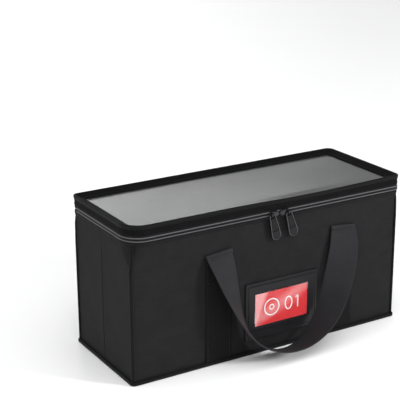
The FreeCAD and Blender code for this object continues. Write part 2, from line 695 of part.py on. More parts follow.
def slider(name, place):
    """A slider on the teeth: a plate with clipped corners, and a lip hooked under the lower row."""
    length = size("slider_length") / 2
    height = size("slider_height") / 2
    clip = size("slider_clip")
    points = []
    for x, y in ((-1, -1), (1, -1), (1, 1), (-1, 1)):
        both = [(0, 1), (1, 0)] if x == y else [(1, 0), (0, 1)]
        for less_x, less_y in both:
            start = (x * (length - clip * less_x), y * (height - clip * less_y))
            text_x = f"{x} * (slider_length / 2 - slider_clip * {less_x})"
            text_y = f"{y} * (slider_height / 2 - slider_clip * {less_y})"
            points.append((start, text_x, text_y))
    plate_body = polygon_body(name + "_plate", "XZ_Plane", [points], "slider_plate")
    front_place(plate_body, place, "chain_out + slider_clear")
    lip_top = "zip_height - chain_gap / 2 - chain_height - slider_lip_clear"
    lip = block(
        name + "_lip",
        (f"{place} - slider_length / 2 + slider_clip", f"{place} + slider_length / 2 - slider_clip"),
        ("-(box_depth / 2 + chain_out + slider_clear)", "-(box_depth / 2 + tape_out + slider_lip_clear)"),
        (f"{lip_top} - slider_lip", lip_top),
    )
    return fuse(name + "_piece", plate_body, lip)


def bridge(name, place):
    """The bridge on a slider: an upright arch that the eye of the pull hangs on."""
    foot = "bridge_height / 2"
    half = size("bridge_height") / 2
    out = size("bridge_out")
    wire = size("bridge_wire")
    bevel = size("bridge_bevel")
    shape = [
        ((0, -half), "0", f"-{foot}"),
        ((-(out - bevel), -half), "-(bridge_out - bridge_bevel)", f"-{foot}"),
        ((-out, -half + bevel), "-bridge_out", f"-({foot} - bridge_bevel)"),
        ((-out, half - bevel), "-bridge_out", f"{foot} - bridge_bevel"),
        ((-(out - bevel), half), "-(bridge_out - bridge_bevel)", foot),
        ((0, half), "0", foot),
        ((0, half - wire), "0", f"{foot} - bridge_wire"),
        ((-(out - wire), half - wire), "-(bridge_out - bridge_wire)", f"{foot} - bridge_wire"),
        ((-(out - wire), -half + wire), "-(bridge_out - bridge_wire)", f"-({foot} - bridge_wire)"),
        ((0, -half + wire), "0", f"-({foot} - bridge_wire)"),
    ]
    body = polygon_body(name + "_body", "YZ_Plane", [shape], "bridge_width", middle=True)
    return front_place(body, place, "chain_out + slider_clear + slider_plate")


def pull(name, place, lean):
    """A pull: a tab that widens to a round end, with an eye at the top and a sunk panel on its face."""
    body = doc.addObject("PartDesign::Body", name + "_body")
    plane = next(f for f in body.Origin.OriginFeatures if f.Role == "XZ_Plane")
    rule = Sketcher.Constraint
    half_top = size("pull_top_width") / 2
    half_low = size("pull_bottom_width") / 2
    end = size("pull_length")

    def tab_sketch(label, less, top_start, top_text):
        """The outline of the tab, drawn in by less on all sides, from a level at its top."""
        gone = size(less) if less else 0.0
        less = less or "0"
        sketch = body.newObject("Sketcher::SketchObject", label)
        sketch.AttachmentSupport = [(plane, "")]
        sketch.MapMode = "FlatFace"
        radius = half_low - gone
        middle = Vector(0, -(end - half_low), 0)
        sketch.addGeometry([
            Part.LineSegment(Vector(-(half_top - gone), top_start, 0), Vector(-radius, middle.y, 0)),
            Part.ArcOfCircle(Part.Circle(middle, Vector(0, 0, 1), radius), math.pi, 2 * math.pi),
            Part.LineSegment(Vector(radius, middle.y, 0), Vector(half_top - gone, top_start, 0)),
            Part.LineSegment(Vector(half_top - gone, top_start, 0), Vector(-(half_top - gone), top_start, 0)),
        ], False)
        sketch.addConstraint([
            rule("Coincident", 0, 2, 1, 1), rule("Coincident", 1, 2, 2, 1),
            rule("Coincident", 2, 2, 3, 1), rule("Coincident", 3, 2, 0, 1),
            rule("PointOnObject", 1, 3, -2), rule("Symmetric", 3, 1, 3, 2, -2),
            rule("Horizontal", 1, 1, 1, 3), rule("Horizontal", 1, 2, 1, 3),
        ])
        for tag, constraint, text in (
            ("round", rule("Radius", 1, radius), f"pull_bottom_width / 2 - {less}"),
            ("reach", rule("DistanceY", 1, 3, -1, 1, -middle.y), "pull_length - pull_bottom_width / 2"),
            ("top", rule("DistanceX", -1, 1, 2, 2, half_top - gone), f"pull_top_width / 2 - {less}"),
        ):
            index = sketch.addConstraint(constraint)
            sketch.renameConstraint(index, tag)
            sketch.setExpression(f"Constraints.{tag}", cells(text))
        ends = (-1, 1, 2, 2) if top_start > 0 else (2, 2, -1, 1)
        index = sketch.addConstraint(rule("DistanceY", *ends, abs(top_start)))
        sketch.renameConstraint(index, "level")
        sketch.setExpression("Constraints.level", cells(top_text))
        return sketch

    outline = tab_sketch(name + "_outline", None, size("pull_bar"), "pull_bar")
    tab = body.newObject("PartDesign::Pad", name + "_tab")
    tab.Profile = outline
    tab.Midplane = True
    bind(tab, Length="pull_thickness")
    eye_foot = "eye_length + pull_bar"
    panel_top = size("eye_length") + size("pull_bar") + size("pull_edge")
    panel = tab_sketch(name + "_panel", "pull_edge", -panel_top, f"{eye_foot} + pull_edge")
    doc.recompute()
    sunk = body.newObject("PartDesign::Pocket", name + "_sunk")
    sunk.Profile = panel
    sunk.Midplane = False
    sunk.Type = "Length"
    panel.setExpression("AttachmentOffset.Base.z", cells("pull_thickness / 2"))
    bind(sunk, Length="pull_recess")
    pull_out = "box_depth / 2 + chain_out + slider_clear + slider_plate + (bridge_out - bridge_wire) / 2"
    bind(body, Base_x=place, Base_y=f"-({pull_out})", Base_z="zip_height")
    eye = doc.addObject("Part::Box", name + "_eye")
    bind(eye, Length="eye_width", Width="pull_thickness * 3", Height="eye_length")
    eye_spot = f"{place} - eye_width / 2"
    bind(eye, Base_x=eye_spot, Base_z="zip_height - pull_bar - eye_length")
    bind(eye, Base_y=f"-({pull_out}) - pull_thickness * 1.5")
    made = cut(name + "_piece", body, eye)
    hung = doc.addObject("Part::Feature", name + "_hung")
    doc.recompute()
    shape = made.Shape.copy()
    shape.rotate(Vector(size(place), 0, size("zip_height")), Vector(0, 1, 0), -size(lean))
    hung.Shape = shape
    return hung


for word in ("left", "right"):
    node(slider(word + "_slider", word + "_slider_place"), word + "_slider")
    node(bridge(word + "_bridge", word + "_bridge_place"), word + "_slider_bridge")
    node(pull(word + "_pull", word + "_bridge_place", word + "_pull_lean"), word + "_pull")

doc.recompute()

faults = [o.Label for o in doc.Objects if any(word in o.State for word in ("Invalid", "Error"))]
faults += [name for name, thing in nodes.items() if thing.Shape.isNull() or not thing.Shape.isValid()]
faults += [name for name, thing in nodes.items() if thing.Shape.Volume < 1]
if faults:
    raise RuntimeError("not built: " + ", ".join(faults))

os.makedirs("parts", exist_ok=True)
for name, thing in nodes.items():
    thing.Shape.exportStep(f"parts/{name}.step")
print(len(nodes), "pieces")
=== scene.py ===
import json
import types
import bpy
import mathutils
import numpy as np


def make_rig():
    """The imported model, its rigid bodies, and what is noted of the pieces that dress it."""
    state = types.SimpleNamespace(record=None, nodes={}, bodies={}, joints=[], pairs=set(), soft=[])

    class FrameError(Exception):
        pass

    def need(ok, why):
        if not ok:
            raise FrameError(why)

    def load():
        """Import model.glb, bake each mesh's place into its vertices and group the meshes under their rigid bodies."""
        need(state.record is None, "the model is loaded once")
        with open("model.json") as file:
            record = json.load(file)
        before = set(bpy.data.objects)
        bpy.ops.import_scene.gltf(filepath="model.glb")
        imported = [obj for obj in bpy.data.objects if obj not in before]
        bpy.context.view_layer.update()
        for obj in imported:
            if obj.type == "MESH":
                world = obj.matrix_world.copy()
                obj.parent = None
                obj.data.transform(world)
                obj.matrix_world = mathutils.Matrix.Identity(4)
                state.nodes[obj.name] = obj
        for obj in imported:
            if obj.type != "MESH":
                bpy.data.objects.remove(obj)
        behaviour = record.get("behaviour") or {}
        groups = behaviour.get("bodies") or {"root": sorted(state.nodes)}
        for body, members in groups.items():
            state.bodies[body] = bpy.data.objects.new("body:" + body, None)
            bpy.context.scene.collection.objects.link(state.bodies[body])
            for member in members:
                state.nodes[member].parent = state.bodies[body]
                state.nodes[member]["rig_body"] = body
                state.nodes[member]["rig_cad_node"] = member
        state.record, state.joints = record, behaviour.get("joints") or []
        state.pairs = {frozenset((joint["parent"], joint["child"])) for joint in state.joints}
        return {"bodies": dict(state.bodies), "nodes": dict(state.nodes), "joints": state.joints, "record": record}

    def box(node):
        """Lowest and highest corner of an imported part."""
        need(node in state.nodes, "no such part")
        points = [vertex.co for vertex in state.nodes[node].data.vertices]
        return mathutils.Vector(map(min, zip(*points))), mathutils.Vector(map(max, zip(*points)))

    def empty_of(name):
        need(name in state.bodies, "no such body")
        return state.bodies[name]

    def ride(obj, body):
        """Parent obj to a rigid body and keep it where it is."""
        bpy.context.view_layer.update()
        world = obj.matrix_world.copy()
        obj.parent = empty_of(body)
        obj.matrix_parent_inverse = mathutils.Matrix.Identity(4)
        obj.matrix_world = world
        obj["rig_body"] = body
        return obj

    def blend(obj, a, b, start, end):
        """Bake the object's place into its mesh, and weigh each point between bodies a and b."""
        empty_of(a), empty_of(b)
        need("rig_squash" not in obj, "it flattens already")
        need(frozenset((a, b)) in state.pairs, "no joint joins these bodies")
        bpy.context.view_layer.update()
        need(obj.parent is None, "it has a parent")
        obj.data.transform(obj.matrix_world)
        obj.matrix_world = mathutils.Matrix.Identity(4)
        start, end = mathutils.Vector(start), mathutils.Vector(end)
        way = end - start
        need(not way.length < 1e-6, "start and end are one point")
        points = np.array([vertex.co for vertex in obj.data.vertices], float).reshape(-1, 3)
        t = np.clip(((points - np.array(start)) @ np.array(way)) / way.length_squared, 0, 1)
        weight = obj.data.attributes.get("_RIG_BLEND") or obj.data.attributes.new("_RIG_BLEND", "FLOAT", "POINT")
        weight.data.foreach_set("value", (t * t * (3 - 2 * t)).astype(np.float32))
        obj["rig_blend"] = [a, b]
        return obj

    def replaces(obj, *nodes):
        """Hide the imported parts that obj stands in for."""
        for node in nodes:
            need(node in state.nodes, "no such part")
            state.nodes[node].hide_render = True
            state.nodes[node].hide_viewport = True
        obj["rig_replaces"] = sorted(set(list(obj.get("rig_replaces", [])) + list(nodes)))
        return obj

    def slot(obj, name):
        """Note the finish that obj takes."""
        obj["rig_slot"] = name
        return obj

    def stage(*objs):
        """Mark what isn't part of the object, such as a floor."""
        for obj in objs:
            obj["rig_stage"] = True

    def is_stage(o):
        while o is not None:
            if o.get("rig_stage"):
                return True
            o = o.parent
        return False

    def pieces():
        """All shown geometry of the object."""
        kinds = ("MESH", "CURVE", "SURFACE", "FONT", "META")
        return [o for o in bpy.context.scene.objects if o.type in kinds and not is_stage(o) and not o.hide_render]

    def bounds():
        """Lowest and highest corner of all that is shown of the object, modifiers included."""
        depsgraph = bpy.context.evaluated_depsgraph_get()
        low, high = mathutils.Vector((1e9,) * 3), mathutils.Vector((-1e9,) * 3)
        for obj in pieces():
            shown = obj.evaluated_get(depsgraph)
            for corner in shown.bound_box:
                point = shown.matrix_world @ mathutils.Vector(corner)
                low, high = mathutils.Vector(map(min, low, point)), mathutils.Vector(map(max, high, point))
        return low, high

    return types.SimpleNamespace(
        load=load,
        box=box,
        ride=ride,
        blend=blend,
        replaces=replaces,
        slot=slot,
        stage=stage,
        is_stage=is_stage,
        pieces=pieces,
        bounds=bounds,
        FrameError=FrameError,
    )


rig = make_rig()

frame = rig.load()
cad_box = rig.bounds()

import json
import math
from types import SimpleNamespace

import bmesh
import bpy
import numpy as np
from bpy.props import FloatProperty, FloatVectorProperty, PointerProperty
from mathutils import Matrix, Vector

bl_info = {
    "name": "Disc storage box",
    "version": (1, 0, 0),
    "blender": (4, 5, 0),
    "location": "View3D > Sidebar > Disc Box",
    "description": "Cloth, webbing, zip and label of a soft-sided disc storage box, dressed over its solids",
    "category": "Object",
}

# Lengths are in millimetres until a mesh is made. An offset is a distance out from the wall's face.
BODY = "box"
LID = "lid"
LONG_STEPS = 170  # columns of points along the front and the back
SHORT_STEPS = 64  # and along each end
ARC_STEPS = 12  # and round each corner
FOLD_CROWD = 1.7  # how strongly an end's columns crowd towards the fold in its middle
LEAST_CORNER = 0.6
WEBBING = 1.6  # thickness of the webbing
FOLD_SLOPE = 2.0  # how much higher a strap's inner edge reaches than its middle
WALLS = (("front", -1), ("back", 1))  # the walls that carry handles, and the way each faces
LIMBS = (("left", -1), ("right", 1))
finishes = {}


def length_property(name, description, millimetres):
    """A length that a user may change, kept in metres."""
    return FloatProperty(
        name=name, description=description, subtype="DISTANCE", min=0.0, precision=4, default=millimetres / 1000.0
    )


class BoxSizes(bpy.types.PropertyGroup):
    """Sizes of the box that its cloth, webbing and zip are worked out from."""

    length: length_property("Length", "Over the walls", 400.0)
    depth: length_property("Depth", "Over the walls", 150.0)
    wall_top: length_property("Wall top", "Upper edge of the wall cloth", 180.0)
    seam_corner: length_property("Seam corner", "Corner radius low down", 3.0)
    front_left: length_property("Front left corner", "Radius under the zip", 24.5)
    front_right: length_property("Front right corner", "Radius under the zip", 4.5)
    back_right: length_property("Back right corner", "Radius under the zip", 7.5)
    back_left: length_property("Back left corner", "Radius under the zip", 4.5)
    corner_start: length_property("Corner start", "Height where corners grow round", 145.0)
    corner_end: length_property("Corner end", "Height where corners are round", 176.0)
    zip_height: length_property("Zip", "Height of the middle of the zip", 185.0)
    zip_end: length_property("Zip end", "Distance of the zip's ends from the back", 10.0)
    rim_top: length_property("Rim top", "Top of the lid's rolled rim", 203.3)
    front_sag: length_property("Front sag", "How far the lid's front edge hangs", 2.6)
    strap_width: length_property("Webbing", "Width of the webbing", 38.0)
    strap_span: length_property("Strap span", "Between the sewn straps' middles", 189.0)
    strap_middle: length_property("Strap middle", "Middle of handles and label", 15.0)
    fold_height: length_property("Fold", "Where a handle folds over its strap", 149.0)
    handle_drop: length_property("Handle drop", "Hang of the loop", 144.5)
    label_middle: length_property("Label height", "Height of the label's middle", 59.0)


def colour_property(name, description, default):
    """A colour that a user may change, kept as linear red, green and blue."""
    return FloatVectorProperty(
        name=name, description=description, subtype="COLOR", size=3, min=0.0, max=1.0, default=default
    )


def linear(code):
    """An sRGB hex value as linear red, green and blue, each from 0 to 1."""
    values = np.array([int(code[i:i + 2], 16) for i in (1, 3, 5)]) / 255.0
    return tuple(np.where(values <= 0.04045, values / 12.92, ((values + 0.055) / 1.055) ** 2.4).tolist())


class BoxColours(bpy.types.PropertyGroup):
    """Base colours of the box's finishes."""

    cloth: colour_property("Cloth", "Outer cloth of the walls", linear("#1d1d1e"))
    lid_cloth: colour_property("Lid cloth", "Outer cloth of the lid", linear("#0f0f10"))
    lining: colour_property("Lining", "Lining and collar", linear("#222223"))
    binding: colour_property("Binding", "Bindings, rim and corner seams", linear("#131314"))
    # lighter than the cloth as a painted highlight on the rolled edges beside the zip
    piping: colour_property("Piping", "Rolled edges beside the zip", linear("#505052"))
    webbing: colour_property("Webbing", "Handles", linear("#262628"))
    # darker than the webbing as painted shade, where the sewn straps lie under the handles
    strap: colour_property("Sewn webbing", "Straps sewn up the walls", linear("#161617"))
    vinyl: colour_property("Vinyl", "Label frame", linear("#151517"))
    card: colour_property("Card", "Label card", linear("#d73438"))
    lacquer: colour_property("Lacquer", "Sliders and pulls", linear("#0d0d0f"))


def sizes():
    """The sizes in millimetres."""
    group = bpy.context.scene.disc_box_sizes
    return SimpleNamespace(**{name: getattr(group, name) * 1000.0 for name in group.__annotations__})


def colours():
    return bpy.context.scene.disc_box_colours


# Finishes


def add(tree, kind, inputs=None, **settings):
    """Adds a node with its settings. An input given as a socket is linked, and any other is set as a value."""
    made = tree.nodes.new(kind)
    for key, value in settings.items():
        setattr(made, key, value)
    for key, value in (inputs or {}).items():
        if isinstance(value, bpy.types.NodeSocket):
            tree.links.new(value, made.inputs[key])
        else:
            made.inputs[key].default_value = value
    return made


def calc(tree, operation, *values, kind="Math"):
    """The result of a Math or VectorMath node."""
    return add(tree, "ShaderNode" + kind, dict(enumerate(values)), operation=operation).outputs[0]


def ramp(tree, value, low, high, first, last):
    """A value from low to high, mapped to first to last."""
    return add(tree, "ShaderNodeMapRange", {0: value, 1: low, 2: high, 3: first, 4: last}).outputs[0]


def mix(tree, share, low, high):
    """A colour between two others."""
    return add(tree, "ShaderNodeMix", {0: share, 6: low, 7: high}, data_type="RGBA").outputs[2]


def here(tree):
    """The place on the piece, in its own coordinates."""
    return add(tree, "ShaderNodeTexCoord").outputs["Object"]


def noise(tree, scale, detail):
    """Noise over the piece, with that many patches to a metre."""
    return add(tree, "ShaderNodeTexNoise", {"Vector": here(tree), "Scale": scale, "Detail": detail}).outputs["Fac"]


def relief(tree, height, strength, depth):
    """The normal of a bump that is depth mm deep."""
    return add(
        tree, "ShaderNodeBump", {"Height": height, "Strength": strength, "Distance": depth / 1000.0}
    ).outputs[0]


def shader(tree, base, roughness, **more):
    """The Principled shader. more gives its other inputs, with an underscore for each space in a name."""
    inputs = {key.replace("_", " "): value for key, value in more.items()}
    return add(tree, "ShaderNodeBsdfPrincipled", {"Base Color": base, "Roughness": roughness, **inputs}).outputs[0]


def drift(tree, colour, amount, patch):
    """A colour that drifts lighter and darker over patches of that many millimetres."""
    low = [c * (1 - amount) for c in colour] + [1.0]
    high = [min(1.0, c * (1 + amount)) for c in colour] + [1.0]
    return mix(tree, noise(tree, 1000.0 / patch, 3.0), low, high)


def finish(name):
    """Turns a function that gives a shader in an empty tree into one that gives its material, built once."""

    def wrap(build):
        def material():
            if name not in finishes:
                finishes[name] = bpy.data.materials.new(name)
                finishes[name].use_nodes = True
                tree = finishes[name].node_tree
                tree.nodes.clear()
                add(tree, "ShaderNodeOutputMaterial", {"Surface": build(tree)})
            return finishes[name]

        material.__doc__ = build.__doc__
        return material

    return wrap


def woven(tree, colour, thread, across, depth, roughness, sheen, patch=14.0, amount=0.22, gloss=0.2, slub=0.0):
    """Cloth of crossing threads. Height is sin(u) sin(v) over the piece's own UV map, which is in millimetres,
    so each thread passes over and under its neighbours. thread and across are the thread spacings, and slub is
    how much single threads, drawn about 25 mm long and 2 mm wide, differ from the rest."""
    uv = add(tree, "ShaderNodeUVMap").outputs[0]
    phase = calc(tree, "MULTIPLY", uv, (math.pi / thread, math.pi / across, 0.0), kind="VectorMath")
    wave = add(tree, "ShaderNodeSeparateXYZ", {0: calc(tree, "SINE", phase, kind="VectorMath")})
    weave = calc(tree, "MULTIPLY", wave.outputs[0], wave.outputs[1])
    # the threads' tops catch a little more light than the gaps between them
    lift = calc(tree, "MULTIPLY_ADD", weave, 0.12, 1.0)
    long = calc(tree, "MULTIPLY", uv, (1 / 25.0, 1 / 2.0, 0.0), kind="VectorMath")
    threads = add(tree, "ShaderNodeTexNoise", {"Vector": long, "Scale": 1.0, "Detail": 2.0}).outputs["Fac"]
    tone = calc(tree, "ADD", lift, ramp(tree, threads, 0.3, 0.7, -slub, slub))
    plain = drift(tree, colour, amount, patch)
    base = add(tree, "ShaderNodeVectorMath", {0: plain, "Scale": tone}, operation="SCALE").outputs[0]
    normal = relief(tree, weave, 0.8, depth)
    return shader(
        tree, base, roughness, Specular_IOR_Level=gloss, Sheen_Weight=sheen, Sheen_Roughness=0.5, Normal=normal
    )


@finish("coated_polyester_cloth")
def cloth(tree):
    """Coated polyester cloth, 600 denier: matt, threads 0.5 mm apart, drawn at 0.9 mm so that they show."""
    return woven(tree, colours().cloth, 0.9, 0.9, 0.10, 0.78, 0.01, gloss=0.14, slub=0.1)


@finish("coated_lid_cloth")
def lid_cloth(tree):
    """The same coated cloth, pressed darker on the lid."""
    return woven(tree, colours().lid_cloth, 0.9, 0.9, 0.10, 0.74, 0.0, gloss=0.08, slub=0.1)


@finish("pressed_felt_lining")
def lining_cloth(tree):
    """Pressed polypropylene felt: matt, with a soft dimple pattern 1.2 mm apart."""
    return woven(tree, colours().lining, 1.2, 1.2, 0.12, 0.9, 0.01, 20.0)


@finish("grosgrain_binding")
def binding_cloth(tree):
    """Grosgrain binding: fine ribs across the tape, 0.7 mm apart."""
    return woven(tree, colours().binding, 0.7, 2.4, 0.10, 0.6, 0.0, 9.0, 0.22, 0.14)


@finish("rolled_cloth_edge")
def highlit_piping_cloth(tree):
    """Rolled cloth edge, worn a little lighter than the cloth beside it."""
    return woven(tree, colours().piping, 0.8, 0.8, 0.05, 0.45, 0.03, 6.0, 0.22, 0.5)


@finish("polypropylene_webbing")
def webbing_cloth(tree):
    """Polypropylene webbing: ribs along it 1.6 mm apart, crossed by picks 1.1 mm apart, with a low shine."""
    return woven(tree, colours().webbing, 1.1, 1.6, 0.12, 0.6, 0.01, 18.0, 0.15, 0.2)


@finish("shaded_sewn_webbing")
def shaded_strap_cloth(tree):
    """The same webbing, sewn down flat: it lies in the handles' shade and takes less light across its ribs."""
    return woven(tree, colours().strap, 1.1, 1.6, 0.12, 0.7, 0.0, 18.0, 0.15, 0.1)


@finish("zip_tape")
def zip_tape_cloth(tree):
    """Knitted polyester zip tape: fine, matt, threads 0.6 mm apart."""
    return woven(tree, colours().binding, 0.6, 0.6, 0.06, 0.8, 0.01, 8.0)


@finish("bonded_thread")
def stitching(tree):
    """Bonded polyester thread: a twist 0.5 mm long on a slightly shiny strand."""
    inputs = {"Vector": here(tree), "Scale": 600.0, "Distortion": 1.0}
    twist = add(tree, "ShaderNodeTexWave", inputs, bands_direction="DIAGONAL").outputs["Fac"]
    return shader(tree, drift(tree, linear("#171719"), 0.2, 5.0), 0.5, Normal=relief(tree, twist, 0.4, 0.1))


@finish("nylon_coil")
def coil(tree):
    """Nylon zip coil: moulded, half shiny, a little lighter on top from wear."""
    return shader(tree, drift(tree, linear("#1c1c1e"), 0.3, 3.0), 0.38, IOR=1.53)


@finish("soft_pvc")
def vinyl(tree):
    """Soft PVC with a pressed leather grain of about 0.9 mm: half shiny, grain as low relief."""
    grain = add(tree, "ShaderNodeTexVoronoi", {"Vector": here(tree), "Scale": 1100.0}, feature="SMOOTH_F1")
    normal = relief(tree, grain.outputs["Distance"], 0.3, 0.1)
    return shader(tree, drift(tree, colours().vinyl, 0.12, 25.0), 0.42, Specular_IOR_Level=0.3, Normal=normal)


def film(tree, roughness, clear, index=1.53):
    """Clear PVC film: plasticised, smooth, with slow waves of about 40 mm from its heat-set flatness."""
    normal = relief(tree, noise(tree, 25.0, 1.0), 0.15, 1.0)
    return shader(tree, (0.93, 0.94, 0.95, 1.0), roughness, IOR=index, Transmission_Weight=clear, Normal=normal)


@finish("clear_pvc_film")
def lid_film(tree):
    """The lid's film: thick, a little milky, and slightly rough on its face."""
    return film(tree, 0.08, 0.97)


@finish("label_film")
def label_film(tree):
    """The label's thin film: clear but for the places that the mesh's attribute "clouding" names."""
    glare = add(tree, "ShaderNodeAttribute", attribute_name="painted_glare").outputs["Fac"]
    return film(tree, 0.05, calc(tree, "SUBTRACT", 0.995, glare), 1.3)


def lacquered(tree, least, most, shine):
    """A dark coat with faint scuffs about 4 mm across, which take its roughness from least to most."""
    rough = ramp(tree, noise(tree, 250.0, 4.0), 0.0, 1.0, least, most)
    return shader(tree, drift(tree, colours().lacquer, 0.2, 4.0), rough, Specular_IOR_Level=shine)


@finish("black_lacquer")
def lacquer(tree):
    """Black lacquer on cast zinc: smooth and shiny."""
    return lacquered(tree, 0.16, 0.34, 0.5)


@finish("black_nylon")
def pull_paint(tree):
    """Moulded nylon of the pulls: black, half matt, so that only their rims shine."""
    return lacquered(tree, 0.3, 0.42, 0.25)


@finish("black_nickel")
def black_nickel(tree):
    """Black nickel on the rims of the pulls: dark metal, bright only where it mirrors the floor and the lamp."""
    rough = ramp(tree, noise(tree, 400.0, 3.0), 0.0, 1.0, 0.18, 0.32)
    return shader(tree, drift(tree, linear("#505054"), 0.15, 3.0), rough, Metallic=1.0)


@finish("red_printed_card")
def printed_card(tree):
    """Coated card, printed one red: smooth with a low shine and a faint paper tooth of 0.4 mm."""
    normal = relief(tree, noise(tree, 2500.0, 2.0), 0.15, 0.05)
    return shader(tree, drift(tree, colours().card, 0.06, 12.0), 0.45, Specular_IOR_Level=0.1, Normal=normal)


@finish("white_ink")
def white_print(tree):
    """White ink on the card, slightly uneven in its cover."""
    return shader(tree, drift(tree, linear("#f4efee"), 0.04, 1.5), 0.5)


@finish("packing_board")
def packing_board(tree):
    """Black-dyed packing board: pressed fibre, matt, flecked at about 1 mm."""
    return shader(tree, drift(tree, linear("#33312e"), 0.25, 1.0), 0.92)


@finish("fibreglass_rod")
def plain_rod(tree):
    """Extruded fibreglass rod: off-white, half matt, drawn along its length."""
    return shader(tree, drift(tree, linear("#c9c7c0"), 0.1, 3.0), 0.5)


@finish("studio_paper")
def studio_paper(tree):
    """Pale paper of the floor, with a low shine that carries the box's soft reflection."""
    tone = mix(tree, noise(tree, 3.0, 2.0), (0.86, 0.86, 0.865, 1), (0.88, 0.88, 0.885, 1))
    return shader(tree, tone, 0.28, Specular_IOR_Level=0.35)


# Meshes


def unit(vectors):
    """Each vector made 1 long."""
    return vectors / np.linalg.norm(vectors, axis=-1, keepdims=True)


def grid(x, y, z):
    """Points from x, y and z that broadcast to one shape."""
    return np.stack(np.broadcast_arrays(x, y, z), -1)


def full_turn(steps):
    """Angles once round, without the last one, which is the first again."""
    return np.linspace(0, 2 * math.pi, steps, endpoint=False)


def crowded(steps, power):
    """Numbers from -1 to 1 that crowd towards both ends: each is 1 - (1 - |t|)^power, with the sign of t."""
    t = np.linspace(-1, 1, steps)
    return np.sign(t) * (1 - (1 - np.abs(t)) ** power)


def smooth(value):
    """Eases from 0 to 1: t t (3 - 2 t)."""
    t = np.clip(value, 0, 1)
    return t * t * (3 - 2 * t)


def bell(value, width):
    """1 at 0, falling off over about that width on both sides: exp(-(value / width)^2)."""
    return np.exp(-((value / width) ** 2))


def lengths_along(points):
    """Distances along each row of a grid of points, from its first column."""
    steps = np.linalg.norm(np.diff(points, axis=-2), axis=-1)
    return np.concatenate([np.zeros(steps.shape[:-1] + (1,)), np.cumsum(steps, axis=-1)], axis=-1)


def grid_faces(rows, columns, wrap_rows=False, wrap_columns=False):
    """Corner numbers of the quads of a grid. Columns run to the right and rows run up, seen from outside."""
    r = np.arange(rows if wrap_rows else rows - 1)[:, None]
    c = np.arange(columns if wrap_columns else columns - 1)[None, :]
    r_next = (r + 1) % rows
    c_next = (c + 1) % columns
    quads = np.stack([r * columns + c, r * columns + c_next, r_next * columns + c_next, r_next * columns + c], -1)
    return quads.reshape(-1, 4)


def surface(points, wrap=(False, False), flip=False):
    """Vertices, faces and UVs of a grid of points. The UVs run along the columns and up the rows, in mm.

    wrap tells whether the rows and the columns close on themselves, and flip turns the faces round."""
    faces = grid_faces(*points.shape[:2], *wrap)
    uv = np.stack([lengths_along(points), lengths_along(points.swapaxes(0, 1)).T], -1)
    return points.reshape(-1, 3), faces[:, ::-1] if flip else faces, uv.reshape(-1, 2)


def joined(parts):
    """Several sets of vertices, faces and UVs as one."""
    points, faces, uvs = zip(*parts)
    starts = np.cumsum([0] + [len(each) for each in points[:-1]])
    faces = [each + start for each, start in zip(faces, starts)]
    return np.concatenate(points), np.concatenate(faces), np.concatenate(uvs)


def make_mesh(name, points, quads, uv, ends=()):
    """A mesh in metres from points in millimetres. uv has one pair for each point, and ends holds more faces."""
    mesh = bpy.data.meshes.new(name)
    faces = [tuple(q) for q in quads.tolist()] + [tuple(f) for f in ends]
    mesh.from_pydata((points / 1000.0).tolist(), [], faces)
    layer = mesh.uv_layers.new(name="UVMap")
    corner = np.zeros(len(mesh.loops), np.int32)
    mesh.loops.foreach_get("vertex_index", corner)
    layer.data.foreach_set("uv", uv[corner].astype(np.float32).ravel())
    # points that fall together, such as the middle of a round end, become one
    kit = bmesh.new()
    kit.from_mesh(mesh)
    bmesh.ops.remove_doubles(kit, verts=kit.verts, dist=1e-6)
    kit.to_mesh(mesh)
    kit.free()
    mesh.polygons.foreach_set("use_smooth", np.ones(len(mesh.polygons), bool))
    mesh.update()
    return mesh


def place_piece(name, mesh, material, body, slot, replaced=(), bends=None, thickness=0.0):
    """Puts a finished mesh into the scene: it rides on a body, or bends between two, and stands for CAD nodes.

    A sheet gets its thickness in mm, on its inner side."""
    made = bpy.data.objects.new(name, mesh)
    bpy.context.scene.collection.objects.link(made)
    made.data.materials.append(material)
    if bends:
        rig.blend(made, *bends[:2], start=bends[2], end=bends[3])
    else:
        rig.ride(made, body)
    if replaced:
        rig.replaces(made, *replaced)
    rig.slot(made, slot)
    if thickness:
        solid = made.modifiers.new("thickness", "SOLIDIFY")
        solid.thickness = thickness / 1000.0
        solid.offset = -1.0
    return made


def sheet_piece(name, points, material, body, slot, replaced=(), wrap=(False, False), caps=False, **more):
    """A piece from a grid of points, rows by columns. caps closes the ends of a tube whose rows go round."""
    rows, columns = points.shape[:2]
    first = [r * columns for r in range(rows)]
    ends = [first, [i + columns - 1 for i in reversed(first)]] if caps else ()
    return place_piece(name, make_mesh(name, *surface(points, wrap), ends), material, body, slot, replaced, **more)


def closed_rings(rings):
    """A closed shape from rings of points, one inside or above the next, with both ends drawn to their middles."""
    first, last = (np.broadcast_to(ring.mean(0), ring.shape) for ring in (rings[0], rings[-1]))
    return np.array([first, *rings, last])


def round_profile(low, high, steps=16, power=2.6):
    """A closed, rounded cross-section that fills the box from low to high, each an offset and a height."""
    low, high = np.array(low, float), np.array(high, float)
    way = np.stack([np.cos(full_turn(steps)), np.sin(full_turn(steps))], -1)
    return (low + high) / 2 + np.sign(way) * np.abs(way) ** (2 / power) * (high - low) / 2


def ripple(along, up, amount, seed):
    """Slow unevenness of cloth: three sine waves of unlike lengths, worked out from two distances in mm."""
    return amount * (
        0.5 * np.sin(along / 23.0 + seed) * np.cos(up / 31.0 + 2 * seed)
        + 0.3 * np.sin(along / 9.7 + up / 13.0 + 3 * seed)
        + 0.2 * np.cos(along / 5.3 - up / 7.1 + seed)
    )


# The walls' outline


def zip_corners(height=0.0):
    """Corner radii under the zip and above it, from the front left round: the same at every height."""
    s = sizes()
    return np.array([s.front_left, s.front_right, s.back_right, s.back_left])


def wall_corners(height):
    """Corner radii of the walls at a height: square low down, growing to the zip's."""
    s = sizes()
    return s.seam_corner + (zip_corners() - s.seam_corner) * smooth(
        (height - s.corner_start) / (s.corner_end - s.corner_start)
    )


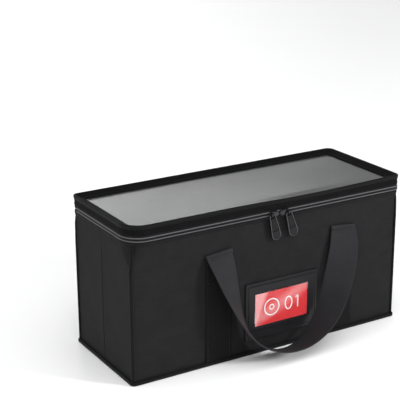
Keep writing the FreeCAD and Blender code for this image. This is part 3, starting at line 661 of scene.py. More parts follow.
def outline(offset, corners, part="all"):
    """Walks round the walls seen from above, anticlockwise from the back of the left side.

    A side is a straight run and a corner a quarter of a circle. part is all, or zip for the three sides that
    the zip goes round, or hinge for the rest. Gives points and the directions that face out."""
    s = sizes()
    half_x, half_y = half = np.array([s.length / 2 + offset, s.depth / 2 + offset])
    radius = np.maximum(corners + offset, LEAST_CORNER)
    middles = np.array([(-1, -1), (1, -1), (1, 1), (-1, 1)]) * (half - radius[:, None])
    (left, left_front), (right, right_front), (far_right, right_back), (far_left, left_back) = middles
    zip_y = s.depth / 2 - s.zip_end

    def arc(corner):
        turn = math.pi * (1 + corner / 2) + np.linspace(0, math.pi / 2, ARC_STEPS, endpoint=False)
        away = np.stack([np.cos(turn), np.sin(turn)], -1)
        return middles[corner] + radius[corner] * away, away

    def run(start, end, away, steps, crowd=1.0):
        u = 2 * np.linspace(0, 1, steps, endpoint=False)[:, None] - 1
        t = 0.5 + 0.5 * np.sign(u) * np.abs(u) ** crowd
        return np.array(start) * (1 - t) + np.array(end) * t, np.tile(np.array(away, float), (steps, 1))

    def end_wall(side, start, end, steps=SHORT_STEPS, crowd=FOLD_CROWD):
        return run((side * half_x, start), (side * half_x, end), (side, 0), steps, crowd)

    front_run = run((left, -half_y), (right, -half_y), (0, -1), LONG_STEPS)
    back_run = run((far_right, half_y), (far_left, half_y), (0, 1), LONG_STEPS)
    if part == "all":
        start, last = end_wall(-1, left_back, left_front), end_wall(1, right_front, right_back)
        runs = [start, arc(0), front_run, arc(1), last, arc(2), back_run, arc(3)]
    elif part == "zip":
        start, last = end_wall(-1, zip_y, left_front), end_wall(1, right_front, zip_y)
        runs = [start, arc(0), front_run, arc(1), last, end_wall(1, zip_y, zip_y, 1)]
    else:
        start, last = end_wall(1, zip_y, right_back, 6, 1.0), end_wall(-1, left_back, zip_y, 6, 1.0)
        runs = [start, arc(2), back_run, arc(3), last, end_wall(-1, zip_y, zip_y, 1)]
    points, ways = zip(*runs)
    return np.concatenate(points), np.concatenate(ways)


def lid_drop(x, y, z):
    """How far the lid's front edge hangs: most a little right of its middle, none at the zip and the corners."""
    s = sizes()
    near_front = np.clip((-y - s.depth / 2 + 24) / 20, 0, 1)
    height = np.clip((z - s.zip_height - 2) / (s.rim_top - s.zip_height - 2), 0, 1)
    return s.front_sag * near_front * height * bell(x - 65, 75)


def at_zip(profile):
    """A profile whose heights are counted from the middle of the zip, with heights from the floor instead."""
    return np.array(profile) + (0.0, sizes().zip_height)


def band(profile, part="all", corners=zip_corners, uneven=0.0, seed=0.0, hang=False):
    """A profile carried round the walls' outline. profile is a list of offsets and heights, one for each row."""
    rows = []
    for offset, height in profile:
        flat, away = outline(offset, corners(height), part)
        rows.append(grid(flat[:, 0], flat[:, 1], height))
    points = np.array(rows)
    if uneven:
        points[..., :2] += away * ripple(lengths_along(points), points[..., 2], uneven, seed)[..., None]
    if hang:
        points[..., 2] -= lid_drop(*np.moveaxis(points, -1, 0))
    return points


def line_round(offset, height, part="all", corners=zip_corners, hang=False):
    """A line round the walls at one offset and height, with its outward directions, for stitches."""
    points = band([(offset, height)], part, corners, hang=hang)[0]
    away = outline(offset, corners(height), part)[1]
    if part == "all":
        points = np.concatenate([points, points[:1]])
        away = np.concatenate([away, away[:1]])
    return points, grid(away[:, 0], away[:, 1], 0.0)


# Rows of small shapes


def along_line(points, away, pitch, shape, flip=False):
    """Copies of a small closed shape along a line, one every pitch.

    points are the line and away its outward directions. shape is a grid of points, each a distance along the
    line, across it and out of it."""
    run = lengths_along(points[None])[0]
    count = max(1, int(run[-1] // pitch))
    spots = (np.arange(count) + 0.5) * run[-1] / count

    def at(places, values):
        return np.stack([np.interp(places, run, each) for each in values.T], -1)

    along = unit(at(spots + 0.4, points) - at(spots - 0.4, points))
    out = at(spots, away)
    frames = np.stack([along, unit(np.cross(out, along)), out], 1)
    small, faces, uv = surface(shape, (False, True), flip)
    made = at(spots, points)[:, None] + small @ frames
    faces = faces + np.arange(count)[:, None, None] * len(small)
    return made.reshape(-1, 3), faces.reshape(-1, 4), np.tile(uv, (count, 1))


def stitch_row(points, away, length=2.6, gap=1.1, width=0.55, height=0.3):
    """Stitches along a line: each is a low rounded bead, as long as length, with a gap to the next."""
    t = np.linspace(-1, 1, 6)[:, None]
    thin = np.sqrt(1 - t ** 4)
    turn = full_turn(6)
    bead = grid(t * length / 2, np.cos(turn) * thin * width / 2, np.sin(turn) * thin * height)
    return along_line(points, away, length + gap, bead)


def stitches(name, rows, body, slot, **more):
    """One piece that holds rows of stitches, each a line and its outward directions."""
    mesh = make_mesh(name, *joined([stitch_row(line, away, **more) for line, away in rows]))
    return place_piece(name, mesh, stitching(), body, slot)


def tooth_row(points, away, pitch=1.5, length=1.15, height=1.75, depth=2.2):
    """Teeth of a coil along a level line: each is a rounded bead, one every pitch."""
    rise = np.linspace(-math.pi / 2, math.pi / 2, 4)[:, None]
    turn = full_turn(6)
    wide = np.cos(rise) ** 0.5
    tooth = grid(wide * np.cos(turn) * length / 2, np.sin(rise) * height / 2, wide * np.sin(turn) * depth / 2)
    return along_line(points, away, pitch, tooth, flip=True)


# Pieces


class WallCloth(bpy.types.Operator):
    """Outer cloth of the four walls, pulled in at the seams, with a fold down the middle of each end."""

    bl_idname = "disc_box.wall_cloth"
    bl_label = "Wall cloth"

    def execute(self, context):
        s = sizes()
        heights = [*np.linspace(1, s.corner_start, 66), *np.linspace(s.corner_start, s.wall_top, 22)[1:]]
        points = band([(0.0, z) for z in heights], corners=wall_corners)
        away = outline(0.0, zip_corners())[1]
        x, y, z = np.moveaxis(points, -1, 0)
        on_end = np.abs(away[:, 0]) > 0.99
        # folds of the ends: a narrow groove between two low swells, all dying out towards the top
        fold = (1.2 * bell(y, 0.7) - 0.5 * bell(y, 9)) * np.clip((s.wall_top - z) / 60, 0.25, 1)
        # the boards push the cloth out a little in the middle of each wall
        crown = 1 - np.where(on_end, y / (s.depth / 2), x / (s.length / 2)) ** 2
        crown = np.clip(crown * np.sin(math.pi * np.clip(z / s.wall_top, 0, 1)), 0, 1)
        shift = ripple(lengths_along(points), z, 0.35, 0.7) - np.where(on_end, fold, 0) + 0.5 * crown
        points[..., :2] += away * shift[..., None]
        # one wall ends and the next begins in the middle of the corner between them
        cuts = np.cumsum([SHORT_STEPS + ARC_STEPS // 2] + [ARC_STEPS + LONG_STEPS, ARC_STEPS + SHORT_STEPS] * 2)
        for wall, first, last in zip(("front", "right", "back", "left"), cuts[:-1], cuts[1:]):
            columns = np.arange(first, last + 1) % points.shape[1]
            sheet_piece(
                wall + "_wall_cloth", points[:, columns], cloth(), BODY, "body_fabric", [wall + "_panel"],
                thickness=0.9,
            )
        return {"FINISHED"}


class CornerSeams(bpy.types.Operator):
    """Pinched seams up the four corners, and the stitches on both of their sides."""

    bl_idname = "disc_box.corner_seams"
    bl_label = "Corner seams"

    def execute(self, context):
        s = sizes()
        corners = ("front_left", -1, -1), ("front_right", 1, -1), ("back_right", 1, 1), ("back_left", -1, 1)
        z = np.array([*np.linspace(4, s.corner_start, 60), *np.linspace(s.corner_start, 178.5, 20)[1:]])
        share = np.clip((z - s.corner_start) / (s.corner_end - s.corner_start), 0, 1)
        # cross-section: a flattened bead 6 mm wide that stands 2 mm out of the corner, pinched along its crest
        turn = full_turn(20)
        wide = 3.1 * np.sin(turn)
        high = np.where(np.cos(turn) > 0, 2.0, 1.4) * np.cos(turn)
        high = high * (1 - 0.35 * bell(wide, 1.1) * (np.cos(turn) > 0))
        rows = []
        for (name, sx, sy), radius in zip(corners, zip_corners()):
            # the seam stands upright, then leans in where the corner grows round
            inner = (s.seam_corner + (radius - s.seam_corner) * share) * (1 - math.sqrt(0.5))
            path = grid(sx * (s.length / 2 - inner), sy * (s.depth / 2 - inner), z)
            out = np.array([sx, sy, 0]) / math.sqrt(2)
            side = np.array([-sy, sx, 0]) / math.sqrt(2)
            # it flattens where it runs in under the zip's tape
            swell = 1 + 0.02 * np.sin(z / 1.9 + sx) + 0.02 * np.sin(z / 4.3 + sy)
            swell = swell * (1 - 0.45 * np.clip((z - 166) / 10, 0, 1))
            ring = out * high[:, None] + side * wide[:, None]
            sheet_piece(
                name + "_corner_seam", path + ring[::-1, None] * swell[:, None], binding_cloth(), BODY,
                "binding_tape", [name + "_seam"], wrap=(True, False), caps=True,
            )
            for way in (-1, 1):
                line = path[2:-6] + side * way * 2.4 + out * 1.2
                rows.append((line, np.tile(out * 0.55 + side * way * 0.84, (len(line), 1))))
        stitches("corner_stitches", rows, BODY, "binding_tape", length=2.4, gap=1.2)
        return {"FINISHED"}


class Bottom(bpy.types.Operator):
    """Cloth under the box, the binding round its foot, and the stitches along that binding."""

    bl_idname = "disc_box.bottom"
    bl_label = "Bottom"

    def execute(self, context):
        s = sizes()

        def square(height):
            """Corner radii of the foot: the same at every height."""
            return np.full(4, s.seam_corner)

        points = band(round_profile((-0.4, 0.0), (3.5, 4.5), 18, 3.0), corners=square, uneven=0.12, seed=1.9)
        points[..., 2] = np.clip(points[..., 2], 0.0, None)
        sheet_piece(
            "foot_binding", points, binding_cloth(), BODY, "binding_tape", ["bottom_binding"], wrap=(True, True)
        )
        line = line_round(2.2, 4.75, corners=square)
        stitches("foot_stitches", [line], BODY, "binding_tape", length=3.0, gap=1.3)
        half_x, half_y = s.length / 2 - 0.6, s.depth / 2 - 0.6
        x, y = np.meshgrid(np.linspace(-half_x, half_x, 90), np.linspace(-half_y, half_y, 40))
        low = grid(x, y, 0.35 + ripple(x, y, 0.12, 2.2))[::-1]
        sheet_piece("base_cloth", low, cloth(), BODY, "body_fabric", ["base_panel"], thickness=0.6)
        return {"FINISHED"}


class Lining(bpy.types.Operator):
    """Lining inside the walls, the collar that stands up inside the lid, and the loose board on the bottom."""

    bl_idname = "disc_box.lining"
    bl_label = "Lining"

    def execute(self, context):
        s = sizes()
        walls = ("front", "back", "left", "right")
        foot, top, offset = 3.6, s.zip_height - 7.7, -4.2
        points = band([(offset, z) for z in np.linspace(foot, top, 60)], corners=wall_corners)
        away = outline(offset, zip_corners())[1]
        shift = np.clip(ripple(lengths_along(points), points[..., 2], 0.3, 4.1), -0.3, 0.2)
        fold = np.clip(1.4 * np.exp(-np.abs(points[..., 1]) / 2.2), 0, 0.7)
        shift = shift + np.where(np.abs(away[:, 0]) > 0.99, fold, 0)
        points[..., :2] += away * shift[..., None]
        sheet_piece(
            "wall_lining", points[:, ::-1], lining_cloth(), BODY, "lining_fabric",
            [wall + "_lining" for wall in walls], wrap=(False, True), thickness=0.6,
        )
        rise = np.linspace(-7.8, 10.4, 14)
        collar = at_zip([(-1.05, z) for z in rise] + [(-4.15, z) for z in rise[::-1]])
        sheet_piece(
            "collar_cloth", band(collar, uneven=0.06, seed=5.2), lining_cloth(), BODY, "lining_fabric",
            [wall + "_collar" for wall in walls], wrap=(True, True),
        )
        edge = at_zip(round_profile((-4.35, 9.6), (-0.9, 11.8), 16, 2.4))
        sheet_piece(
            "collar_edge", band(edge, uneven=0.08, seed=0.4), binding_cloth(), BODY, "binding_tape",
            ["collar_binding"], wrap=(True, True),
        )
        inside, away = line_round(-4.3, s.zip_height + 8.6)
        stitches("collar_stitches", [(inside, -away)], BODY, "lining_fabric", length=2.8, gap=1.3)
        # the loose board: its edge rounds off over 1.4 mm, and its face is uneven but for the last 6 mm
        half_x, half_y = s.length / 2 - 5.0, s.depth / 2 - 5.0
        x, y = np.meshgrid(crowded(60, 1.6) * half_x, crowded(60, 1.6) * half_y)
        inset = np.minimum(half_x - np.abs(x), half_y - np.abs(y))
        round_off = 1 - np.sqrt(1 - (1 - np.clip(inset / 1.4, 0, 1)) ** 2)
        z = 6.7 - round_off + ripple(x, y, 0.12, 3.0) * np.clip(inset / 6, 0, 1)
        sheet_piece(
            "bottom_board_cover", grid(x, y, z), lining_cloth(), BODY, "lining_fabric",
            ["insert_board", "base_lining"], thickness=1.8,
        )
        return {"FINISHED"}


class Zip(bpy.types.Operator):
    """Zip round three sides: two tapes with rolled edges, two rows of coil, stitches and end stops."""

    bl_idname = "disc_box.zip"
    bl_label = "Zip"

    def execute(self, context):
        s = sizes()
        # offsets, and heights above the middle of the zip
        lower = [(0.35, -7.8), (1.3, -7.5), (1.45, -6), (1.3, -4.5), (1.35, -3), (1.2, -2), (0.1, -1.9)]
        upper = [(0.1, 1.9), (1.2, 2), (1.4, 3.2), (1.5, 4.4), (1.3, 5.6), (0.3, 5.9)]
        for word, body, tape, seed in (("lower", BODY, lower, 1.3), ("upper", LID, upper, 2.3)):
            points = band(at_zip(tape), part="zip", uneven=0.1, seed=seed, hang=body == LID)
            sheet_piece(
                word + "_tape_cloth", points, zip_tape_cloth(), body, "zip_tape", [word + "_zip_tape"],
                wrap=(True, False), caps=True,
            )
        for word, body, height, seed in (("lower", BODY, -2.05, 0.2), ("upper", LID, 2.1, 0.9)):
            roll = round_profile((0.6, height - 0.75), (2.35, height + 0.75), 12, 2.0)
            points = band(at_zip(roll), part="zip", uneven=0.1, seed=seed)
            sheet_piece(
                word + "_rolled_edge", points, highlit_piping_cloth(), body, "zip_tape", wrap=(True, False), caps=True
            )
        for word, body, height in (("lower", BODY, -1.025), ("upper", LID, 1.025)):
            teeth = tooth_row(*line_round(1.25, s.zip_height + height, part="zip"))
            core = round_profile((0.3, height - 0.625), (1.7, height + 0.625), 8)
            core = closed_rings(band(at_zip(core), part="zip").swapaxes(0, 1)).swapaxes(0, 1)
            mesh = make_mesh(word + "_coil", *joined([teeth, surface(core, (True, False))]))
            place_piece(word + "_coil", mesh, coil(), body, "zip_teeth", [word + "_zip_chain"])
        for word, body, offset, height in (("lower", BODY, 1.4, -5.6), ("upper", LID, 1.5, 4.5)):
            line = line_round(offset, s.zip_height + height, part="zip")
            stitches(word + "_zip_stitches", [line], body, "zip_tape", gap=1.0)
        stops = []
        end = s.depth / 2 - s.zip_end
        for side in (-1, 1):
            line = grid(side * (s.length / 2 + 1.3), np.array([end + 0.2, end + 3.8]), s.zip_height - 0.7)
            stops.append(stitch_row(line, np.tile([side, 0.0, 0.0], (2, 1)), 3.6, 0.0, 1.1, 1.1))
        mesh = make_mesh("zip_end_stops", *joined(stops))
        place_piece("zip_end_stops", mesh, coil(), BODY, "zip_teeth", ["zip_stops"])
        return {"FINISHED"}


class Hinge(bpy.types.Operator):
    """Cloth hinge along the back: a tape on the box, a tape on the lid, and the fold that bends between them."""

    bl_idname = "disc_box.hinge"
    bl_label = "Hinge"

    def execute(self, context):
        s = sizes()
        lower = [(0.1, -7.7), (1.5, -7.4), (1.6, -4.5), (1.5, -1.4), (0.1, -1.3)]
        upper = [(0.1, 1.3), (1.5, 1.4), (1.6, 3.5), (1.4, 5.8), (0.1, 5.9)]
        for word, body, tape in (("lower", BODY, lower), ("upper", LID, upper)):
            sheet_piece(
                word + "_hinge_cloth", band(at_zip(tape), part="hinge", uneven=0.08, seed=1.1), zip_tape_cloth(),
                body, "zip_tape", [word + "_hinge_tape"], wrap=(True, False), caps=True,
            )
        half = s.length / 2 - 9
        turn = np.linspace(-1, 1, 13)[:, None]
        y = s.depth / 2 + 1.6 + 1.1 * np.cos(turn * math.pi / 2) ** 0.8
        axis_y, middle = (s.depth / 2 + 2.2) / 1000, s.zip_height / 1000
        sheet_piece(
            "hinge_fold_cloth", grid(np.linspace(half, -half, 120), y, s.zip_height + turn * 1.9), binding_cloth(),
            None, "binding_tape", ["hinge_fold"], thickness=0.5,
            bends=(BODY, LID, (0, axis_y, middle - 0.0017), (0, axis_y, middle + 0.0017)),
        )
        line = line_round(1.6, s.zip_height - 4.8, part="hinge")
        stitches("hinge_stitches", [line], BODY, "zip_tape", gap=1.0)
        return {"FINISHED"}


class LidCloth(bpy.types.Operator):
    """Skirt, rolled rim and sloping border of the lid, with their stitches, and the sleeve of its rod."""

    bl_idname = "disc_box.lid_cloth"
    bl_label = "Lid cloth"

    def execute(self, context):
        s = sizes()
        # offsets, and heights above the middle of the zip
        skirt = [
            (0.3, 4.8), (1.6, 5.2), (2.0, 6.5), (1.7, 8.5), (1.5, 10.5), (1.7, 12.3), (1.9, 13.4), (1.6, 14.2),
            (0.3, 14.3),
        ]
        face = band(at_zip(skirt), uneven=0.22, seed=3.3, hang=True)
        back = band(at_zip([(0.15, 13.6), (0.15, 9.5), (0.15, 5.4)]), hang=True)
        rim = round_profile((-0.5, 13.6), (2.6, s.rim_top - s.zip_height), 20, 2.3)
        slope = [(0.2, 17.6), (-1.4, 17.2), (-3.4, 16.2), (-6, 14.9), (-8.4, 13.9), (-9.8, 13.3), (-10.5, 12.7)]
        under = [(-10.4, 12.1), (-8.4, 12.6), (-6, 13.9), (-3.4, 15.4), (0, 16.6)]
        for name, points, material, slot, nodes in (
            ("lid_skirt_cloth", np.concatenate([face, back]), lid_cloth(), "body_fabric", ["lid_skirt"]),
            (
                "rolled_rim", band(at_zip(rim), uneven=0.14, seed=6.1, hang=True), binding_cloth(),
                "binding_tape", ["lid_rim"],
            ),
            (
                "window_border", band(at_zip(slope + under), uneven=0.1, seed=2.7, hang=True), lid_cloth(),
                "body_fabric", ["lid_border"],
            ),
        ):
            sheet_piece(name, points, material, LID, slot, nodes, wrap=(True, True))
        line = line_round(-8.2, s.zip_height + 13.9, hang=True)[0]
        up = np.tile([0.0, 0.0, 1.0], (len(line), 1))
        stitches("border_stitches", [(line, up)], LID, "body_fabric", length=3.0, gap=1.3)
        line = line_round(1.9, s.zip_height + 13.2, hang=True)
        stitches("rim_stitches", [line], LID, "body_fabric", length=2.8, gap=1.2)
        # the rod fills its packed solid, and its sleeve is 1.3 times as thick
        low, high = (1000 * np.array(corner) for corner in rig.box("lid_stiffener"))
        inner = high[0] - s.length / 2
        rod = round_profile((inner - (high[2] - low[2]), low[2]), (inner, high[2]), 12, 2.0)
        sleeve = band((rod - rod.mean(0)) * 1.3 + rod.mean(0), uneven=0.05, seed=4.4, hang=True)
        sheet_piece("rod_sleeve", sleeve, binding_cloth(), LID, "binding_tape", wrap=(True, True))
        sheet_piece(
            "rim_rod", band(rod, hang=True), plain_rod(), LID, "stiffener_rod", ["lid_stiffener"],
            wrap=(True, True),
        )
        return {"FINISHED"}


class LidWindow(bpy.types.Operator):
    """Clear film of the lid, hanging a little in its middle."""

    bl_idname = "disc_box.lid_window"
    bl_label = "Lid window"

    def execute(self, context):
        s = sizes()
        half_x, half_y = s.length / 2 - 9.6, s.depth / 2 - 9.6
        x, y = np.meshgrid(np.linspace(-half_x, half_x, 120), np.linspace(-half_y, half_y, 50))
        dish = (1 - (x / half_x) ** 2) * (1 - (y / half_y) ** 2)
        z = s.zip_height + 11.95 - 0.9 * dish + ripple(x * 0.3, y * 0.3, 0.12, 1.2) * np.clip(dish * 3, 0, 1)
        made = sheet_piece(
            "window_film", grid(x, y, z - lid_drop(x, y, z)), lid_film(), LID, "clear_film", ["lid_window"],
            thickness=0.35,
        )
        made.visible_shadow = False
        return {"FINISHED"}


def webbing_section():
    """Cross-section of webbing, across it and out of it: flat faces, full round edges and a raised selvedge."""
    width, half = sizes().strap_width, WEBBING / 2
    flat = width / 2 - half
    x = crowded(14, 1.5) * flat
    high = half * 0.94 + 0.12 * bell(np.abs(x) - width / 2 + 2.2, 0.9)
    turn = np.linspace(-math.pi / 2, math.pi / 2, 7)[1:-1]
    right = np.column_stack([flat + np.cos(turn) * half, np.sin(turn) * half])
    return np.concatenate([np.column_stack([x, -high]), right, np.column_stack([x, high])[::-1], -right])


class Straps(bpy.types.Operator):
    """Webbing sewn up the front and back walls, with stitches along its edges and a sewn square at the top."""

    bl_idname = "disc_box.straps"
    bl_label = "Straps"

    def execute(self, context):
        s = sizes()
        across, thick = webbing_section().T
        foot, crest = 3.0, s.fold_height - 0.4
        z = np.linspace(foot, crest, 90)[:, None]
        # the inner edge reaches a little higher than the outer one
        reach = ((z - foot) / (crest - foot)) ** 6 * across / (s.strap_width / 2) * FOLD_SLOPE
        # two rows of stitches up the edges, then a square with its diagonals, sewn in one go
        half, top = s.strap_width / 2 - 3.2, s.fold_height - 7
        low = top - 2 * half
        square = [(-half, low), (half, low), (half, top), (-half, top)]
        sewn = square + [square[1], square[0], square[2], square[3]]
        lines = [((side * half, 6), (side * half, top)) for side in (-1, 1)] + list(zip(sewn[:-1], sewn[1:]))
        rows = []
        for wall, sign in WALLS:
            for word, way in LIMBS:
                middle = s.strap_middle + way * s.strap_span / 2
                points = grid(middle + across, sign * (s.depth / 2 + WEBBING / 2) + thick, z - way * reach)
                points[..., 1] += sign * ripple(points[..., 2], points[..., 0], 0.15, middle / 50)
                sheet_piece(
                    f"{wall}_{word}_webbing", closed_rings(points), shaded_strap_cloth(), BODY, "webbing",
                    [f"{wall}_{word}_strap"], wrap=(False, True),
                )
                for ends in lines:
                    x, height = np.array(ends).T
                    line = grid(middle + x, sign * (s.depth / 2 + WEBBING + 0.06), height)
                    rows.append((line, np.tile([0.0, sign, 0.0], (2, 1))))
        stitches("strap_stitches", rows, BODY, "webbing", length=2.7, gap=1.2)
        return {"FINISHED"}


def handle_edge(part_way):
    """The edge of a handle beside the wall, on its right half: across, out of the wall and down, in mm.

    part_way is 0 at the fold and 1 at the middle of the loop's foot. The fall slows down towards the foot."""
    s = sizes()
    fall = 1 - (1 - part_way) ** 2
    half = (s.strap_span - s.strap_width) / 2
    across = half * (1 - 0.31 * fall) * np.sqrt(1 - fall ** 6)
    out = 3.1 + 2.8 * (1 - bell(fall, 0.1)) * (1 - fall ** 3) + 11.5 * fall ** 5
    return np.stack([across, out, -(s.handle_drop - 2.1) * fall], -1), fall


def handle_points(wall_sign):
    """A loop of webbing as a grid: its cross-section is flat on the wall at the folds and turns square to the
    wall at the foot, where it also rises outwards."""
    s = sizes()
    way = np.linspace(0, 1, 90) ** 0.9
    edge, fall = handle_edge(way)
    step = 0.004
    run = handle_edge(np.minimum(1, way + step))[0] - handle_edge(np.maximum(0, way - step))[0]
    run[-1] = (-1, 0, 0)
    run = unit(run)
    turn = math.pi / 2 * fall ** 0.78
    tilt = math.radians(17) * fall ** 4
    width = np.stack([np.cos(turn) * np.cos(tilt), np.sin(turn) * np.cos(tilt), np.sin(tilt)], -1)
    squared = 1 - (1 - fall) ** 10
    width = unit(width - run * ((width * run).sum(1) * squared)[:, None])
    thick = unit(np.cross(run, width))[:, None]
    # one row for each step down the loop, and one column for each point of the cross-section
    across, rise = webbing_section().T
    way, fall = way[:, None], fall[:, None]
    spread = across + s.strap_width / 2
    curl = 0.72 * np.sin(math.pi * fall) * (across / (s.strap_width / 2)) ** 2
    right = edge[:, None] + width[:, None] * spread[:, None] + thick * (rise - curl)[..., None]
    right[..., 2] += ripple(spread * 2, way * 200, 0.3, 1.0) * np.clip(fall * 6, 0, 1)
    left = right[:-1] * np.array([-1, 1, 1])
    # a soft crease crosses the right limb, from its inner end at the fold to its outer edge 17 mm lower
    crease = bell(s.handle_drop * fall - 17.0 * spread / s.strap_width, 4.0) * np.clip(fall * 30, 0, 1)
    right = right - thick * 0.9 * crease[..., None]
    whole = np.concatenate([left, right[::-1]])
    # the loop hangs a little to the left of its straps
    lean = np.concatenate([fall[:-1], fall[::-1]])
    whole[..., 0] += s.strap_middle - 5.3 * lean ** 1.3
    whole[..., 1] = wall_sign * (s.depth / 2 + whole[..., 1])
    whole[..., 2] += s.fold_height - 2.9
    return whole


class Handles(bpy.types.Operator):
    """The two hanging loops of webbing, and the folds where they leave their sewn straps."""

    bl_idname = "disc_box.handles"
    bl_label = "Handles"

    def execute(self, context):
        s = sizes()
        inner = 0.35
        outer = inner + WEBBING
        x = np.linspace(-s.strap_width / 2, s.strap_width / 2, 24)
        # a fold goes over on its outer side and back on its inner one
        turn = np.linspace(0, math.pi, 15)
        turn = np.concatenate([turn, turn[::-1]])[:, None]
        radius = np.repeat([outer, inner], 15)[:, None]
        for wall, sign in WALLS:
            loop_body = wall + "_carry_loop"
            # rows go the other way round on one wall, so that faces look outward on both
            sheet_piece(
                wall + "_handle_webbing", closed_rings(handle_points(sign)[:, ::-sign]), webbing_cloth(),
                loop_body, "webbing", [wall + "_handle"], wrap=(False, True),
            )
            y = sign * (s.depth / 2 + outer - radius * np.cos(turn))
            for word, way in LIMBS:
                slope = -way * x / (s.strap_width / 2) * FOLD_SLOPE
                z = s.fold_height - 1.0 + radius * np.sin(turn) + slope
                # the leg on the handle's side runs down to the handle's level upper end
                z = np.where(turn == math.pi, s.fold_height - 3.2, z)
                middle = s.strap_middle + way * s.strap_span / 2
                sheet_piece(
                    f"{wall}_{word}_fold", grid(middle + x, y, z)[::sign], webbing_cloth(), None, "webbing",
                    wrap=(True, False), caps=True,
                    bends=(
                        BODY, loop_body,
                        (0, sign * (s.depth / 2 + 0.8) / 1000, 0), (0, sign * (s.depth / 2 + 3.1) / 1000, 0),
                    ),
                )
        return {"FINISHED"}


FRAME_CORNERS = np.array([(-1, -1), (1, -1), (1, 1), (-1, 1), (-1, -1)], float)


def framed_sheet(size, opening, lines):
    """A flat frame as a grid: rows go from its outer edge in to its opening, columns go round.

    lines lists how far in each row lies, from 0 outside to 1 at the opening, and its height off the wall."""
    t = np.linspace(0, 1, 40, endpoint=False)[:, None]
    loop = np.concatenate([a + (b - a) * t for a, b in zip(FRAME_CORNERS[:-1], FRAME_CORNERS[1:])])
    outer, inner = loop * np.array(size) / 2, loop * np.array(opening) / 2
    return np.array([grid(*(outer + (inner - outer) * share).T, rise) for share, rise in lines])


def on_front(x, y, rise):
    """Points drawn about the label's middle and raised off the front wall, in their place."""
    s = sizes()
    return grid(x + s.strap_middle, -(s.depth / 2 + rise), y + s.label_middle)


class Label(bpy.types.Operator):
    """Label pocket: backing, embossed vinyl frame, clear film and a card with a plain disc sign and a number."""

    bl_idname = "disc_box.label"
    bl_label = "Label"

    def execute(self, context):
        size, opening = (110, 77), (81, 44)
        lines = [(1, 0.0), (0, 0.0), (0, 0.6), (0.01, 0.8), (0.3, 0.8), (0.7, 0.8), (1, 0.8)]
        backing = framed_sheet(size, (0, 0), lines)
        sheet_piece(
            "label_backing_sheet", on_front(*np.moveaxis(backing, -1, 0)), vinyl(), BODY, "label_vinyl",
            ["label_backing"], wrap=(False, True),
        )
        # in from the edge: a rounded hem, a groove, a raised bead, a flat field, a step, and back underneath
        lines = [
            (0.0, 0.8), (0.0, 2.0), (0.02, 2.4), (0.05, 2.6), (0.17, 2.6), (0.20, 2.5), (0.23, 2.1), (0.27, 2.1),
            (0.30, 2.5), (0.33, 2.85), (0.37, 2.95), (0.41, 2.85), (0.44, 2.75), (0.60, 2.7), (0.80, 2.75),
            (0.88, 2.8), (0.905, 2.7), (0.915, 2.4), (0.92, 2.05), (0.96, 2.02), (1.0, 2.02), (1.0, 1.75),
            (0.28, 1.75), (0.28, 0.8),
        ]
        face = framed_sheet(size, opening, lines)
        # the upper side isn't sewn down, so that the card slides out there
        slot = (face[0, :, 1] > 38) & (np.abs(face[0, :, 0]) < 51)
        face[0, slot, 2] = face[-1, slot, 2] = 1.75
        sheet_piece(
            "label_frame_vinyl", on_front(*np.moveaxis(face, -1, 0)), vinyl(), BODY, "label_vinyl",
            ["label_frame"], wrap=(True, True),
        )
        x, y = np.meshgrid(np.linspace(-44, 44, 60), np.linspace(-26, 26, 36))
        fold = np.clip(1 - np.abs((x + 18) * 0.35 - y * 0.9) / 14, 0, 1)
        rise = 2.0 + 0.12 * ripple(x, y, 1.0, 0.3) + 0.0875 * fold
        made = sheet_piece(
            "label_film_sheet", on_front(x, y, rise), label_film(), BODY, "clear_film", ["label_window"],
            thickness=0.2,
        )
        made.visible_shadow = False
        # painted glare: milky white laid on the film at its left end, and a little along its fold, standing in for a
        # reflection of light
        glare = 0.16 * np.clip((-28 + 0.4 * y - x) / 6, 0, 1)
        glare = glare + 0.08 * np.clip(1 - np.abs(y - 0.5 * x - 4) / 12, 0, 1)
        made.data.attributes.new("painted_glare", "FLOAT", "POINT").data.foreach_set("value", glare.ravel())
        x, y = np.meshgrid(np.linspace(-45, 45, 24), np.linspace(-27, 27, 16))
        sheet_piece(
            "red_card", on_front(x, y, 1.58), printed_card(), "card", "card", ["label_card"], thickness=0.45
        )
        # the sign is two rings, and the number an oval 0 and the two strokes of a 1, each a line and its width
        turn, t = np.linspace(0, 2 * math.pi, 60), np.linspace(0, 1, 20)
        strokes = [
            (middle + wide * np.cos(turn), high * np.sin(turn), width)
            for middle, wide, high, width in ((-15, 11, 11, 1.9), (-15, 3.2, 3.2, 1.5), (11, 5.2, 8.5, 1.9))
        ]
        strokes += [(22 + 3.4 * t, 5.0 + 3.6 * t, 1.9), (25.4 + 0 * t, 8.8 - 17.4 * t, 1.9)]
        parts = []
        for x, y, width in strokes:
            line = np.column_stack([x, y])
            side = unit(np.gradient(line, axis=0)) @ np.array([[0, 1], [-1, 0]]) * width / 2
            x, y = np.moveaxis(np.array([line - side, line + side]), -1, 0)
            parts.append(surface(on_front(x, y, 1.63)))
        mesh = make_mesh("card_print", *joined(parts))
        place_piece("card_print", mesh, white_print(), "card", "card", thickness=0.04)
        # stitches run all round, 2.4 mm in from the edge
        corners = FRAME_CORNERS * (np.array(size) / 2 - 2.4)
        rows = [
            (on_front(*np.array(ends).T, 2.55), np.tile([0.0, -1.0, 0.0], (2, 1)))
            for ends in zip(corners[:-1], corners[1:])
        ]
        stitches("label_stitches", rows, BODY, "label_vinyl", length=2.3)
        return {"FINISHED"}


